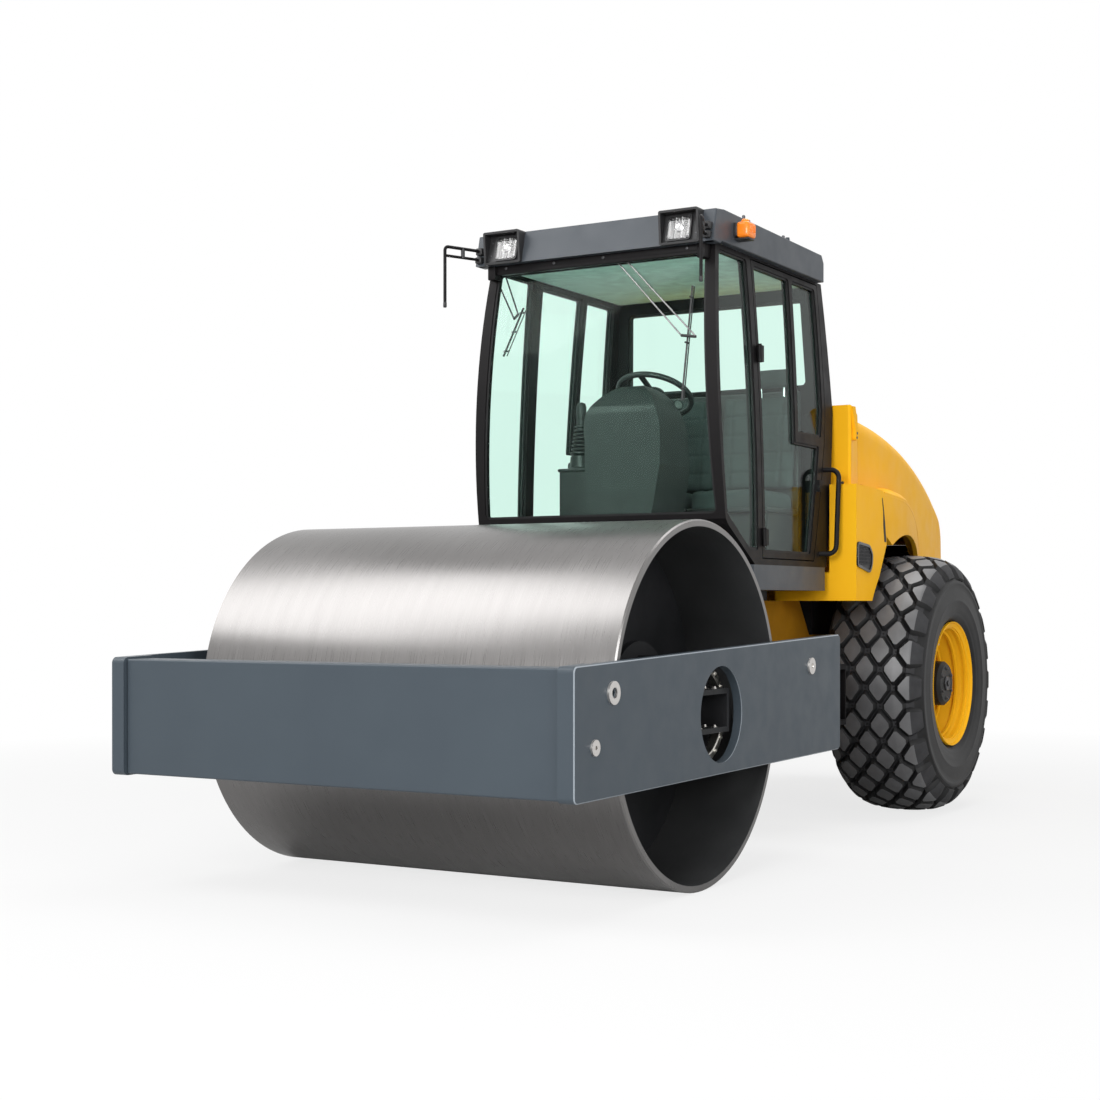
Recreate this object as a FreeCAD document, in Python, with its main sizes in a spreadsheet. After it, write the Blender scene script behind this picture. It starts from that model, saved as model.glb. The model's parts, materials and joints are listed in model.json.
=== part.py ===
import FreeCAD, Part
import math
import os
import Sketcher

# Single drum road roller with an articulated frame, in millimetres.
# X runs to the machine's left, Y to its rear and Z up, with the ground at Z = 0.
# Every piece is drawn with Y measured from the drum's axle, and its Placement
# moves it to the middle of the machine's length.

os.makedirs("parts", exist_ok=True)
doc = FreeCAD.newDocument("road_roller")
sheet = doc.addObject("Spreadsheet::Sheet", "Sizes")

# Driving dimensions: alias, value
SIZES = [
    ("drum_y", -1830),
    ("drum_radius", 760),
    ("drum_left", 1065),
    ("drum_right", 940),
    ("drum_wall", 29),
    ("head_face", 650),
    ("head_wall", 30),
    ("plate_outer", 1111),
    ("plate_wall", 40),
    ("post_wall", 70),
    ("post_depth", 180),
    ("plate_front", -1125),
    ("plate_rear", 1411),
    ("front_low", 463),
    ("front_high", 953),
    ("rear_low", 486),
    ("rear_high", 1030),
    ("beam_front", 1250),
    ("pivot_y", 1620),
    ("swing_z", 700),
    ("swing_radius", 80),
    ("pivot_radius", 50),
    ("running_gap", 0.05),
    ("gap", 6),
    ("axle_y", 3243),
    ("axle_z", 724),
    ("arch_z", 717),
    ("tyre_middle", 809),
    ("rim_inner", 520),
    ("rim_outer", 1066),
    ("rim_radius", 351),
    ("spindle_radius", 60),
    ("cheek_outer", 420),
    ("cheek_wall", 40),
    ("frame_rear", 4640),
    ("floor_low", 1243),
    ("floor_high", 1365),
    ("floor_front", 1330),
    ("floor_rear", 2235),
    ("sill_half", 700),
    ("cab_wall", 50),
    ("roof_low", 2880),
    ("roof_high", 3020),
    ("roof_front", 957),
    ("roof_rear", 2320),
    ("roof_half", 660),
    ("glass_wall", 8),
    ("hood_front", 2686),
    ("bulkhead_front", 2440),
    ("bulkhead_rear", 2680),
    ("ram_z", 700),
    ("ram_eye_x", 170),
    ("ram_eye_y", 1540),
    ("ram_base_x", 240),
    ("ram_base_y", 2100),
    ("ram_rod", 25),
    ("ram_tube", 44),
]

for row, (alias, value) in enumerate(SIZES, start=1):
    sheet.set("A%d" % row, alias)
    sheet.set("B%d" % row, str(value))
    sheet.setAlias("B%d" % row, alias)
doc.recompute()


class Size:
    """A number with the sheet formula that gives it."""

    def __init__(self, value, formula=None):
        self.value = float(value)
        self.formula = formula or "(%r)" % float(value)

    def __float__(self):
        return self.value

    def __add__(self, other):
        other = sized(other)
        return Size(self.value + other.value, "(%s + %s)" % (self.formula, other.formula))

    def __sub__(self, other):
        other = sized(other)
        return Size(self.value - other.value, "(%s - %s)" % (self.formula, other.formula))

    def __mul__(self, other):
        other = sized(other)
        return Size(self.value * other.value, "(%s * %s)" % (self.formula, other.formula))

    def __truediv__(self, other):
        other = sized(other)
        return Size(self.value / other.value, "(%s / %s)" % (self.formula, other.formula))

    def __radd__(self, other):
        return sized(other) + self

    def __rsub__(self, other):
        return sized(other) - self

    def __rmul__(self, other):
        return sized(other) * self

    def __neg__(self):
        return 0 - self


def sized(value):
    return value if isinstance(value, Size) else Size(value)


class Names:
    """The sheet's sizes, by alias."""


size = Names()
for alias, value in SIZES:
    setattr(size, alias, Size(value, "Sizes." + alias))


def bind(thing, **formulas):
    """Bind properties of an object, or x, y and z of its place, to formulas."""
    for name, value in formulas.items():
        prop = "Placement.Base." + name if name in ("x", "y", "z") else name
        thing.setExpression(prop, sized(value).formula)


# Basic solids

TURN = {
    "x": FreeCAD.Rotation(FreeCAD.Vector(0, 1, 0), 90),
    "y": FreeCAD.Rotation(FreeCAD.Vector(1, 0, 0), -90),
    "z": FreeCAD.Rotation(),
}


def block(name, x, y, z):
    """A box from a low to a high place along each axis."""
    box = doc.addObject("Part::Box", name)
    bind(box, Length=x[1] - sized(x[0]), Width=y[1] - sized(y[0]), Height=z[1] - sized(z[0]))
    bind(box, x=x[0], y=y[0], z=z[0])
    return box


def centred(axis, low, centre):
    """The point at a place along an axis, with its other two coordinates given in order."""
    first, second = centre
    return {"x": (low, first, second), "y": (first, low, second), "z": (first, second, low)}[axis]


def rod(name, axis, centre, span, radius, end_radius=None):
    """A cylinder, or a cone if an end radius is given, along an axis."""
    kind = "Part::Cylinder" if end_radius is None else "Part::Cone"
    bar = doc.addObject(kind, name)
    bar.Placement = FreeCAD.Placement(FreeCAD.Vector(), TURN[axis])
    if end_radius is None:
        bind(bar, Radius=radius)
    else:
        bind(bar, Radius1=radius, Radius2=end_radius)
    bind(bar, Height=span[1] - sized(span[0]))
    x, y, z = centred(axis, span[0], centre)
    bind(bar, x=x, y=y, z=z)
    return bar


def edges_of(points):
    """Lines and corner arcs through points (a, b) or (a, b, corner radius).
    A point (a, b, "via") is where an arc between its two neighbours passes."""
    flat = [(float(p[0]), float(p[1]), p[2] if len(p) > 2 else 0) for p in points]
    count = len(flat)
    starts, ends, corners = {}, {}, {}
    for i, (a, b, radius) in enumerate(flat):
        here = FreeCAD.Vector(a, b, 0)
        starts[i] = ends[i] = here
        if radius == "via" or radius == 0:
            continue
        before = FreeCAD.Vector(*flat[i - 1][:2], 0)
        after = FreeCAD.Vector(*flat[(i + 1) % count][:2], 0)
        back = (before - here).normalize()
        ahead = (after - here).normalize()
        half = back.getAngle(ahead) / 2
        reach = radius / math.tan(half)
        middle = (back + ahead).normalize() * (radius / math.sin(half) - radius)
        starts[i] = here + back * reach
        ends[i] = here + ahead * reach
        corners[i] = here + middle
    edges = []
    i = 0
    while i < count:
        if flat[i][2] == "via":
            i += 1
            continue
        if i in corners:
            edges.append(Part.Arc(starts[i], corners[i], ends[i]))
        following = (i + 1) % count
        if flat[following][2] == "via":
            target = (i + 2) % count
            edges.append(Part.Arc(ends[i], starts[following], starts[target]))
        elif (starts[following] - ends[i]).Length > 1e-6:
            edges.append(Part.LineSegment(ends[i], starts[following]))
        i += 1
    return edges


PLANES = {"x": "YZ_Plane", "y": "XZ_Plane", "z": "XY_Plane"}


def plane_of(body, role):
    return [f for f in body.Origin.OriginFeatures if f.Role == role][0]


def sketch_on(body, role, outlines, offset=0):
    sketch = body.newObject("Sketcher::SketchObject", body.Name + "_sketch")
    sketch.AttachmentSupport = (plane_of(body, role), [""])
    sketch.MapMode = "FlatFace"
    sketch.setExpression("AttachmentOffset.Base.z", sized(offset).formula)
    for points in outlines:
        sketch.addGeometry([edge for edge in edges_of(points)], False)
    return sketch


def padded(name, axis, outlines, span):
    """Outlines padded along an axis: (y, z) along x, (x, z) along y and (x, y) along z.
    An outline inside the first one is a hole."""
    body = doc.addObject("PartDesign::Body", name)
    low, high = sized(span[0]), sized(span[1])
    offset = -high if axis == "y" else low
    sketch = sketch_on(body, PLANES[axis], outlines, offset)
    pad = body.newObject("PartDesign::Pad", name + "_pad")
    pad.Profile = sketch
    pad.setExpression("Length", (high - low).formula)
    return body


def turned(name, points, axis="x"):
    """A body of revolution: points are (place along the axis, radius)."""
    body = doc.addObject("PartDesign::Body", name)
    sketch = sketch_on(body, "XZ_Plane", [points])
    spin = body.newObject("PartDesign::Revolution", name + "_turn")
    spin.Profile = sketch
    spin.ReferenceAxis = (sketch, ["H_Axis"])
    spin.Angle = 360
    if axis == "z":
        body.Placement = FreeCAD.Placement(FreeCAD.Vector(), FreeCAD.Rotation(FreeCAD.Vector(0, 1, 0), -90))
    if axis == "y":
        body.Placement = FreeCAD.Placement(FreeCAD.Vector(), FreeCAD.Rotation(FreeCAD.Vector(0, 0, 1), 90))
    return body


def at(thing, x=0, y=0, z=0):
    bind(thing, x=x, y=y, z=z)
    return thing


def fused(name, things):
    union = doc.addObject("Part::MultiFuse", name)
    union.Shapes = things
    union.Refine = True
    return union


def cut(name, base, tool):
    rest = doc.addObject("Part::Cut", name)
    rest.Base = base
    rest.Tool = tool
    rest.Refine = True
    return rest


def eased(name, thing, radius, chosen, kind="Part::Fillet"):
    """Rounds or bevels the edges that a test chooses."""
    doc.recompute()
    soft = doc.addObject(kind, name)
    soft.Base = thing
    soft.Edges = [(i, radius, radius) for i, edge in enumerate(thing.Shape.Edges, start=1) if chosen(edge)]
    return soft


def common(name, first, second):
    shared = doc.addObject("Part::Common", name)
    shared.Base = first
    shared.Tool = second
    shared.Refine = True
    return shared


def on_plane(axis, place):
    """Chooses edges that lie wholly in a plane across an axis."""
    def chosen(edge):
        box = edge.BoundBox
        low, high = {"x": (box.XMin, box.XMax), "y": (box.YMin, box.YMax), "z": (box.ZMin, box.ZMax)}[axis]
        return abs(low - place) < 0.01 and abs(high - place) < 0.01
    return chosen


def mirrored(thing):
    """The same piece on the machine's other side."""
    image = doc.addObject("Part::Mirroring", thing.Name + "_mirror")
    image.Source = thing
    image.Normal = FreeCAD.Vector(1, 0, 0)
    return image


def both_sides(thing):
    return [thing, mirrored(thing)]


def tube(name, points, radius, bend):
    """A round bar bent along points, with arcs of one radius at the corners."""
    vectors = [FreeCAD.Vector(*p) for p in points]
    edges = []
    start = vectors[0]
    for before, here, after in zip(vectors, vectors[1:], vectors[2:]):
        back = (before - here).normalize()
        ahead = (after - here).normalize()
        half = back.getAngle(ahead) / 2
        reach = bend / math.tan(half)
        middle = here + (back + ahead).normalize() * (bend / math.sin(half) - bend)
        edges.append(Part.LineSegment(start, here + back * reach).toShape())
        edges.append(Part.Arc(here + back * reach, middle, here + ahead * reach).toShape())
        start = here + ahead * reach
    edges.append(Part.LineSegment(start, vectors[-1]).toShape())
    section = Part.Wire([Part.makeCircle(radius, vectors[0], vectors[1] - vectors[0])])
    bar = doc.addObject("Part::Feature", name)
    bar.Shape = Part.Wire(edges).makePipeShell([section], True, True)
    return bar


NODES = []


def node(label, things):
    """A finished piece: its solids, moved from the drum's axle to the machine's middle."""
    piece = doc.addObject("Part::Compound", "piece_" + label)
    piece.Links = things
    piece.Label = label
    bind(piece, y=size.drum_y)
    NODES.append(piece)
    return piece


# Drum and its front frame

def drum():
    """The tube reaches further to the left than to the right, and its heads stand at equal distances."""
    left, right, wall = size.drum_left, -size.drum_right, size.drum_wall
    chamfer = 6
    outer, inner = size.drum_radius, size.drum_radius - wall
    shell = turned("drum_tube", [
        (right, inner), (right, outer - chamfer), (right + chamfer, outer),
        (left - chamfer, outer), (left, outer - chamfer), (left, inner)])
    node("drum_shell", [at(shell, z=size.drum_radius)])
    face = size.head_face
    back = face - size.head_wall
    boss = 150
    head = turned("drum_head", [
        (back, inner), (face, inner), (face, boss), (face + 20, boss), (face + 20, size.spindle_radius),
        (face + 100, size.spindle_radius), (face + 100, 0), (back, 0)])
    at(head, z=size.drum_radius)
    node("drum_heads", both_sides(head))


def drum_supports():
    """Bearing housing, rubber buffers and bracket that reach into each end of the drum."""
    axle = (0, size.drum_radius)
    low, high = size.head_face + 30, size.head_face + 130
    housing = rod("housing", "x", axle, (low, high), 120)
    bore = rod("housing_bore", "x", axle, (low - 5, high - 20), size.spindle_radius + size.running_gap)
    flange = rod("housing_flange", "x", axle, (high - 30, high), 260)
    carrier_low, carrier_high = 900, 925
    plate_half = 270
    z = size.drum_radius
    carrier = padded("support_carrier", "x", [[
        (-plate_half, float(z) - plate_half, 70), (plate_half, float(z) - plate_half, 70),
        (plate_half, float(z) + plate_half - 90, 70), (-plate_half, float(z) + plate_half - 90, 70)]],
        (carrier_low, carrier_high))
    solids = [cut("housing_bored", fused("housing_solid", [housing, flange]), bore), carrier]
    buffers = 6
    for i in range(buffers):
        angle = 2 * math.pi * i / buffers
        centre = (200 * math.sin(angle), z + 200 * math.cos(angle) * 0.8)
        solids.append(rod("buffer_%d" % i, "x", centre, (high, carrier_low), 42))
    inner_face = size.plate_outer - size.plate_wall
    for i, height in enumerate((640, 800)):
        solids.append(block("support_shelf_%d" % i, (carrier_high, inner_face), (-180, 250), (height, height + 22)))
    solids.append(block("support_web", (carrier_high, inner_face), (228, 250), (662, 800)))
    support = fused("drum_support", solids)
    node("drum_supports", both_sides(support))


def side_plates():
    """A plate on each side with a thicker post at its front, a round window and steel bosses."""
    corner = 25
    outline = [
        (size.plate_front, size.front_low, corner), (size.plate_rear, size.rear_low, corner),
        (size.plate_rear, size.rear_high, corner), (size.plate_front, size.front_high, corner)]
    outer = size.plate_outer
    plate = padded("side_plate", "x", [outline], (outer - size.plate_wall, outer))
    post_room = block("post_room", (1000, 1200), (size.plate_front, size.plate_front + size.post_depth), (400, 1100))
    post = common("side_post", padded("post_blank", "x", [outline], (outer - size.post_wall, outer)), post_room)
    steel = fused("side_plate_solid", [plate, post])
    bevelled = eased("side_plate_eased", steel, 5, on_plane("x", float(outer)), "Part::Chamfer")
    window = rod("plate_window", "x", (95, 720), (1000, 1200), 200)
    # Steel bosses: place along Y, height, radius, bore radius, start of the bore across
    rings, holes = [], [window]
    for y, z, radius, hole, start in (
            (-841, 849, 44, 20, outer - 100), (-980, 657, 30, 8, outer + 2), (1045, 891, 38, 14, outer + 2)):
        rings.append(rod("boss", "x", (y, z), (outer, outer + 9), radius))
        holes.append(rod("boss_hole", "x", (y, z), (start, outer + 20), hole))
    whole = cut("side_plate_open", fused("side_plate_whole", [bevelled] + rings), fused("side_plate_holes", holes))
    node("side_plates", both_sides(whole))


def crossbeams():
    front = size.plate_front + 18
    wall = 28
    low, high, depth = 470, 946, 150
    half = size.plate_outer - size.post_wall
    web = block("front_web", (-half, half), (front, front + wall), (low, high))
    lips = [block("front_lip", (-half, half), (front, front + depth), span)
            for span in ((low, low + wall), (high - wall, high))]
    steel = fused("front_beam", [web] + lips)
    node("front_crossbeam", [eased("front_beam_eased", steel, 8, on_plane("y", float(front)))])

    half = size.plate_outer - size.plate_wall
    rear_low, rear_high = 520, 985
    beam = block("rear_beam", (-half, half), (size.beam_front, size.plate_rear), (rear_low, rear_high))
    boss = rod("swing_boss", "y", (0, size.swing_z), (size.beam_front - 20, size.plate_rear), 170)
    bore = rod("swing_bore", "y", (0, size.swing_z), (1200, 1450), size.swing_radius + size.running_gap)
    node("rear_crossbeam", [cut("rear_beam_bored", fused("rear_beam_whole", [beam, boss]), bore)])


def scrapers():
    """A blade in front of the drum and one behind it, each on two brackets."""
    short = 20
    reach = size.plate_outer - size.plate_wall
    solids = []
    for sign, name in ((1, "front"), (-1, "rear")):
        tip = (sign * -735, 505)
        back = (sign * -860, 600)
        rise = 14
        blade = padded("scraper_%s" % name, "x", [[
            tip, (tip[0], tip[1] + rise), (back[0], back[1] + rise), back]],
            (short - size.drum_right, size.drum_left - short))
        arms = []
        for x in (-980, 940):
            arms.append(block("scraper_arm", (x, x + 40), sorted((sign * -870, sign * -780)), (540, 614)))
        bar = block("scraper_bar", (-reach, reach), sorted((sign * -910, sign * -860)), (560, 614))
        solids.append(fused("scraper_%s_whole" % name, [blade, bar] + arms))
    node("scrapers", solids)


def center_link():
    """The knuckle: it swings on the front frame's beam and steers in the rear frame's fork."""
    y, z = size.pivot_y, size.swing_z
    fork_low, fork_high = 500, 900
    gap = size.gap
    block_half = 100
    core = padded("link_core", "z", [[
        (-block_half, 1450), (block_half, 1450), (block_half, 1620), (0, 1720, "via"), (-block_half, 1620)]],
        (fork_low + gap, fork_high - gap))
    pins = [rod("link_pin", "z", (0, y), span, size.pivot_radius)
            for span in ((430, fork_low + gap), (fork_high - gap, 970))]
    shaft = rod("link_shaft", "y", (0, z), (size.beam_front - 30, 1450), size.swing_radius)
    flange = rod("link_flange", "y", (0, z), (size.plate_rear + gap, 1450), 150)
    keeper = rod("link_keeper", "y", (0, z), (size.beam_front - 46, size.beam_front - 26), 120)
    solids = [core, shaft, flange, keeper] + pins
    # Ears that hold the rods' eyes, above and below them
    for low, high in ((-51, -31), (31, 51)):
        for side in (-1, 1):
            ear = padded("link_ear", "z", [[
                (side * 90, 1470), (side * 205, 1490, 14), (side * 215, 1590, 14), (side * 90, 1610)]],
                (size.ram_z + low, size.ram_z + high))
            solids.append(ear)
            span = (size.ram_z + high, size.ram_z + high + 10) if low > 0 else (size.ram_z + low - 10, size.ram_z + low)
            solids.append(rod("ear_pin", "z", (side * size.ram_eye_x, size.ram_eye_y), span, 26))
    node("center_link", [fused("link", solids)])


def steering_rams():
    """Barrel and rod on each side, along the line between their two pins at rest."""
    dx = size.ram_eye_x.value - size.ram_base_x.value
    dy = size.ram_eye_y.value - size.ram_base_y.value
    length = math.hypot(dx, dy)
    eye = 20
    tube_start, tube_end = 48, 365
    rod_length = 385
    barrel = fused("ram_barrel_solid", [
        rod("ram_tube_outer", "x", (0, 0), (tube_start, tube_end), size.ram_tube),
        rod("ram_gland", "x", (0, 0), (tube_end - 30, tube_end), size.ram_tube + 4),
        rod("ram_base_eye", "z", (0, 0), (-eye, eye), 42),
        block("ram_base_neck", (30, tube_start + 2), (-25, 25), (-eye, eye))])
    bore = fused("ram_bores", [
        rod("ram_bore", "x", (0, 0), (tube_start + 20, tube_end + 5), size.ram_rod + size.running_gap),
        rod("ram_pin_bore", "z", (0, 0), (-eye - 5, eye + 5), size.ram_rod + size.running_gap)])
    hollow_barrel = cut("ram_barrel", barrel, bore)
    ram_rod = fused("ram_rod_solid", [
        rod("ram_rod_bar", "x", (0, 0), (length - rod_length, length - 20), size.ram_rod),
        rod("ram_rod_eye", "z", (length, 0), (-eye - 7, eye + 7), 36)])
    turn = FreeCAD.Rotation(FreeCAD.Vector(0, 0, 1), math.degrees(math.atan2(dy, dx)))
    for thing, label in ((hollow_barrel, "ram_barrel"), (ram_rod, "ram_rod")):
        thing.Placement = FreeCAD.Placement(FreeCAD.Vector(), turn)
        bind(thing, x=size.ram_base_x, y=size.ram_base_y, z=size.ram_z)
        node(label + "_left", [thing])
        node(label + "_right", [mirrored(thing)])


# Rear frame, axle and wheels

def rear_frame():
    outer, inner = size.cheek_outer, size.cheek_outer - size.cheek_wall
    rear = size.frame_rear
    cheek = padded("frame_cheek", "x", [[
        (1700, 440), (2500, 440), (2620, 560), (float(rear), 560), (float(rear), 900), (3950, 900),
        (3850, 1000), (2700, 1000), (2560, 1190), (1700, 1190)]], (inner, outer))
    axle_hole = rod("axle_hole", "x", (size.axle_y, size.axle_z), (300, 500), 100)
    solids = both_sides(cut("frame_cheek_open", cheek, axle_hole))
    for low, high in ((440, 500), (900, 960)):
        solids.append(padded("fork_plate", "z", [[
            (-float(inner), 2300), (-float(inner), 1760), (-150, 1560, 40), (150, 1560, 40),
            (float(inner), 1760), (float(inner), 2300)]], (low, high)))
    solids.append(block("front_top_plate", (-inner, inner), (1740, 2500), (1150, 1190)))
    solids.append(block("middle_plate", (-inner, inner), (2300, 2330), (440, 1150)))
    solids.append(block("rear_plate", (-inner, inner), (rear - 40, rear), (560, 900)))
    solids.append(block("belly_plate", (-inner, inner), (3700, rear - 40), (560, 585)))
    for side in (-1, 1):
        for low, high in ((-51, -26), (26, 51)):
            solids.append(block("ram_bracket",
                                sorted((side * 200, side * float(inner)), key=float),
                                (size.ram_base_y - 38, size.ram_base_y + 38), (size.ram_z + low, size.ram_z + high)))
        solids.append(rod("ram_base_pin", "z", (side * size.ram_base_x, size.ram_base_y),
                          (size.ram_z - 51, size.ram_z + 51), size.ram_rod))
    bores = [rod("pivot_bore", "z", (0, size.pivot_y), (400, 1000), size.pivot_radius + size.running_gap)]
    bores += both_sides(rod("tie_down_bore", "x", (4560, 640), (300, 500), 20))
    node("rear_frame", [cut("rear_frame_bored", fused("rear_frame_whole", solids), fused("frame_bores", bores))])


def counterweight():
    weight = padded("rear_weight", "z", [[
        (-520, 4640), (520, 4640), (520, 4700, 60), (470, 4785, 60), (-470, 4785, 60), (-520, 4700, 60)]],
        (470, 800))
    node("counterweight", [weight])


def rear_axle():
    y, z = size.axle_y, size.axle_z
    profile = [
        (0, 0), (0, 190), (90, 185), (170, 130), (230, 100), (379, 98), (379, 0)]
    casing = at(turned("axle_casing", profile), y=y, z=z)
    outside = at(turned("axle_arm", [
        (378, 0), (378, 98), (600, 98), (620, 130), (760, 130), (760, float(size.spindle_radius)),
        (850, float(size.spindle_radius)), (850, 0)]), y=y, z=z)
    half = fused("axle_half", [casing, outside])
    cheek = size.cheek_outer - size.cheek_wall
    pads = both_sides(block("axle_pad", (cheek - 90, cheek), (y - 140, y + 140), (z + 60, z + 170)))
    nose = rod("axle_nose", "y", (0, z), (y - 330, y), 95)
    whole = fused("rear_axle_whole", [half, mirrored(half), nose])
    node("rear_axle", [whole])


# The tyre's tread is a lattice of diamond blocks with grooves between them.
# Columns of blocks: distance from the tyre's middle, radius on the block, radius in the groove
TREAD = [(0, 724, 698), (78, 721, 695), (156, 711, 684), (228, 679, 653)]
# Rings of the side wall, from the tread inwards: distance from the tyre's middle, radius
SIDE_WALL = [(280, 596), (284, 475), (262, 376), (222, 333)]


def tread_station(column):
    """Distance, block radius and groove radius at a column, which counts from the middle to each side."""
    across, top, low = TREAD[abs(column)]
    return math.copysign(across, column), top, low


def tyre_solid():
    """The tyre around the X axis, as flat faces: blocks, shoulder lugs, side walls and bore."""
    around = 22
    step = math.pi / around
    tip, flat, foot = 0.7 * step, 0.16 * step, 0.6 * step
    share = 0.65
    faces = []

    def spot(across, radius, angle):
        return FreeCAD.Vector(across, radius * math.sin(angle), -radius * math.cos(angle))

    def face(*points):
        faces.append(Part.Face(Part.makePolygon(list(points) + [points[0]])))

    def between(column, other):
        """A place on the block's top, a share of the way to the next column."""
        here, there = tread_station(column), tread_station(other)
        return here[0] + share * (there[0] - here[0]), here[1] + share * (there[1] - here[1])

    def half_block(column, other, middle):
        """The half of a block that points to the next column, with its flanks down to the grooves."""
        across, radius, groove = tread_station(column)
        there, unused, deep = tread_station(other)
        end = between(column, other)
        ends = [spot(*end, middle + side * flat) for side in (-1, 1)]
        tips = [spot(across, radius, middle + side * tip) for side in (-1, 1)]
        valley = spot(there, deep, middle)
        face(tips[0], ends[0], ends[1], tips[1])
        face(ends[0], valley, ends[1])
        for side, corner, point in zip((-1, 1), ends, tips):
            pit = spot(across, groove, middle + side * step)
            face(corner, valley, pit)
            face(corner, pit, point)

    def shoulder(sign, middle):
        """The outer half of an edge lug, which runs down the side wall."""
        across, radius, groove = tread_station(sign * 3)
        wall, wall_radius = sign * SIDE_WALL[0][0], SIDE_WALL[0][1]
        tips = [spot(across, radius, middle + side * tip) for side in (-1, 1)]
        feet = [spot(wall, wall_radius, middle + side * foot) for side in (-1, 1)]
        face(tips[0], feet[0], feet[1], tips[1])
        for side, point, toe in zip((-1, 1), tips, feet):
            face(point, spot(across, groove, middle + side * step), toe)
        following = spot(wall, wall_radius, middle + 2 * step - foot)
        face(feet[1], spot(across, groove, middle + step), following)

    for i in range(around):
        for column in range(-2, 3):
            middle = (2 * i + column % 2) * step
            for other in (column - 1, column + 1):
                half_block(column, other, middle)
        middle = (2 * i + 1) * step
        for sign in (-1, 1):
            half_block(sign * 3, sign * 2, middle)
            shoulder(sign, middle)
        corners = [middle - foot, middle + foot, middle + 2 * step - foot]
        for start, end in zip(corners, corners[1:]):
            for sign in (-1, 1):
                for (x1, r1), (x2, r2) in zip(SIDE_WALL, SIDE_WALL[1:]):
                    face(spot(sign * x1, r1, start), spot(sign * x2, r2, start),
                         spot(sign * x2, r2, end), spot(sign * x1, r1, end))
            x, r = SIDE_WALL[-1]
            face(spot(-x, r, start), spot(x, r, start), spot(x, r, end), spot(-x, r, end))
    skin = Part.makeCompound(faces)
    skin.sewShape()
    solid = Part.Solid(skin.Shells[0])
    if solid.Volume < 0:
        solid.reverse()
    return solid


def wheels():
    y, z = size.axle_y, size.axle_z
    inner, outer = float(size.rim_inner), float(size.rim_outer)
    rim = float(size.rim_radius)
    tyre = doc.addObject("Part::Feature", "tyre")
    tyre.Shape = tyre_solid()
    at(tyre, x=size.tyre_middle, y=y, z=z)
    barrel = rim - 20.4
    wheel = turned("rim", [
        (inner, barrel), (inner, barrel - 16), (inner + 110, barrel - 30), (835, barrel - 60),
        (845, 250), (800, 200), (800, 120), (825, 120), (825, 190), (870, 240), (872, barrel - 60),
        (outer - 56, barrel - 14), (outer - 16, barrel - 12), (outer - 8, rim - 8), (outer, rim - 8),
        (outer, rim - 2), (outer - 14, rim - 2), (outer - 22, barrel)])
    at(wheel, y=y, z=z)
    bore = float(size.spindle_radius) + float(size.running_gap)
    hub = turned("hub", [
        (770, bore), (770, 119.9), (826, 119.9), (826, 150), (850, 150), (856, 128), (1010, 124), (1028, 106),
        (1028, 0), (856, 0), (856, bore)])
    at(hub, y=y, z=z)
    for thing, label in ((tyre, "tyre"), (wheel, "rim"), (hub, "hub")):
        node(label + "_left", [thing])
        node(label + "_right", [mirrored(thing)])


def engine():
    motor = block("engine", (-400, 400), (2780, 3850), (1000, 1700))
    cooler = block("cooler", (-350, 350), (4350, 4470), (585, 1500))
    node("engine_block", [motor, cooler])


# Cab

# The cab's side outline and front outline, drawn in by an inset
def cab_side(inset):
    i = inset
    return [
        (1060 + i, 2880), (985 + i, 2170, "via"), (1035 + i, 1575), (1060 + i * 1.2, 1548 + i * 0.45),
        (1475 + i * 1.95, 1300), (2273 - i, 1300), (2420 - i, 2190), (2370 - i, 2880)]


def cab_front(inset):
    i = inset
    return [
        (-690 + i, 1300), (-673 + i, 2134, "via"), (-620 + i, 2900), (620 - i, 2900),
        (673 - i, 2134, "via"), (690 - i, 1300)]


def cab_solid(name, inset):
    side = padded(name + "_side", "x", [cab_side(inset)], (-760, 760))
    front = padded(name + "_front", "y", [cab_front(inset)], (900, 2500))
    return common(name, side, front)


def shell(name, outer, inner):
    """The cab's skin between two insets, above the floor and under the roof."""
    skin = cut(name + "_hollow", cab_solid(name + "_out", outer), cab_solid(name + "_in", inner))
    room = block(name + "_room", (-760, 760), (900, 2500), (size.floor_high, size.roof_low))
    return common(name, skin, room)


DOOR = [(1460, 1400), (2105, 1400), (2275, 2010), (2308, 2190), (2304, 2862), (1460, 2862)]
DOOR_LOW_PANE = [
    (1486, 1430, 20), (2060, 1430, 20), (2206, 2000, 10), (1894, 2000), (1922, 2838, 20), (1486, 2838, 20)]
DOOR_TOP_PANE = [(1934, 2050, 10), (2240, 2050, 10), (2274, 2190), (2270, 2838, 20), (1962, 2838, 20)]
QUARTER_PANE = [
    (1094, 2854, 20), (1016, 2170, "via"), (1056, 1596, 20), (1300, 1440, 20), (1406, 1436, 20), (1406, 2854, 20)]


def grown(points, by):
    """An outline moved outwards from its middle by about the given amount."""
    middle_a = sum(float(p[0]) for p in points) / len(points)
    middle_b = sum(float(p[1]) for p in points) / len(points)
    moved = []
    for p in points:
        a = float(p[0]) + math.copysign(by, float(p[0]) - middle_a)
        b = float(p[1]) + math.copysign(by, float(p[1]) - middle_b)
        moved.append((a, b) + tuple(p[2:]))
    return moved


def side_prism(name, points, side):
    span = (300, 760) if side > 0 else (-760, -300)
    return padded(name, "x", [points], span)


WINDSHIELD = [(-646, 1600, 30), (646, 1600, 30), (582, 2835, 30), (-582, 2835, 30)]
REAR_PANE = [(-540, 2340, 40), (540, 2340, 40), (520, 2800, 40), (-520, 2800, 40)]


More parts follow.
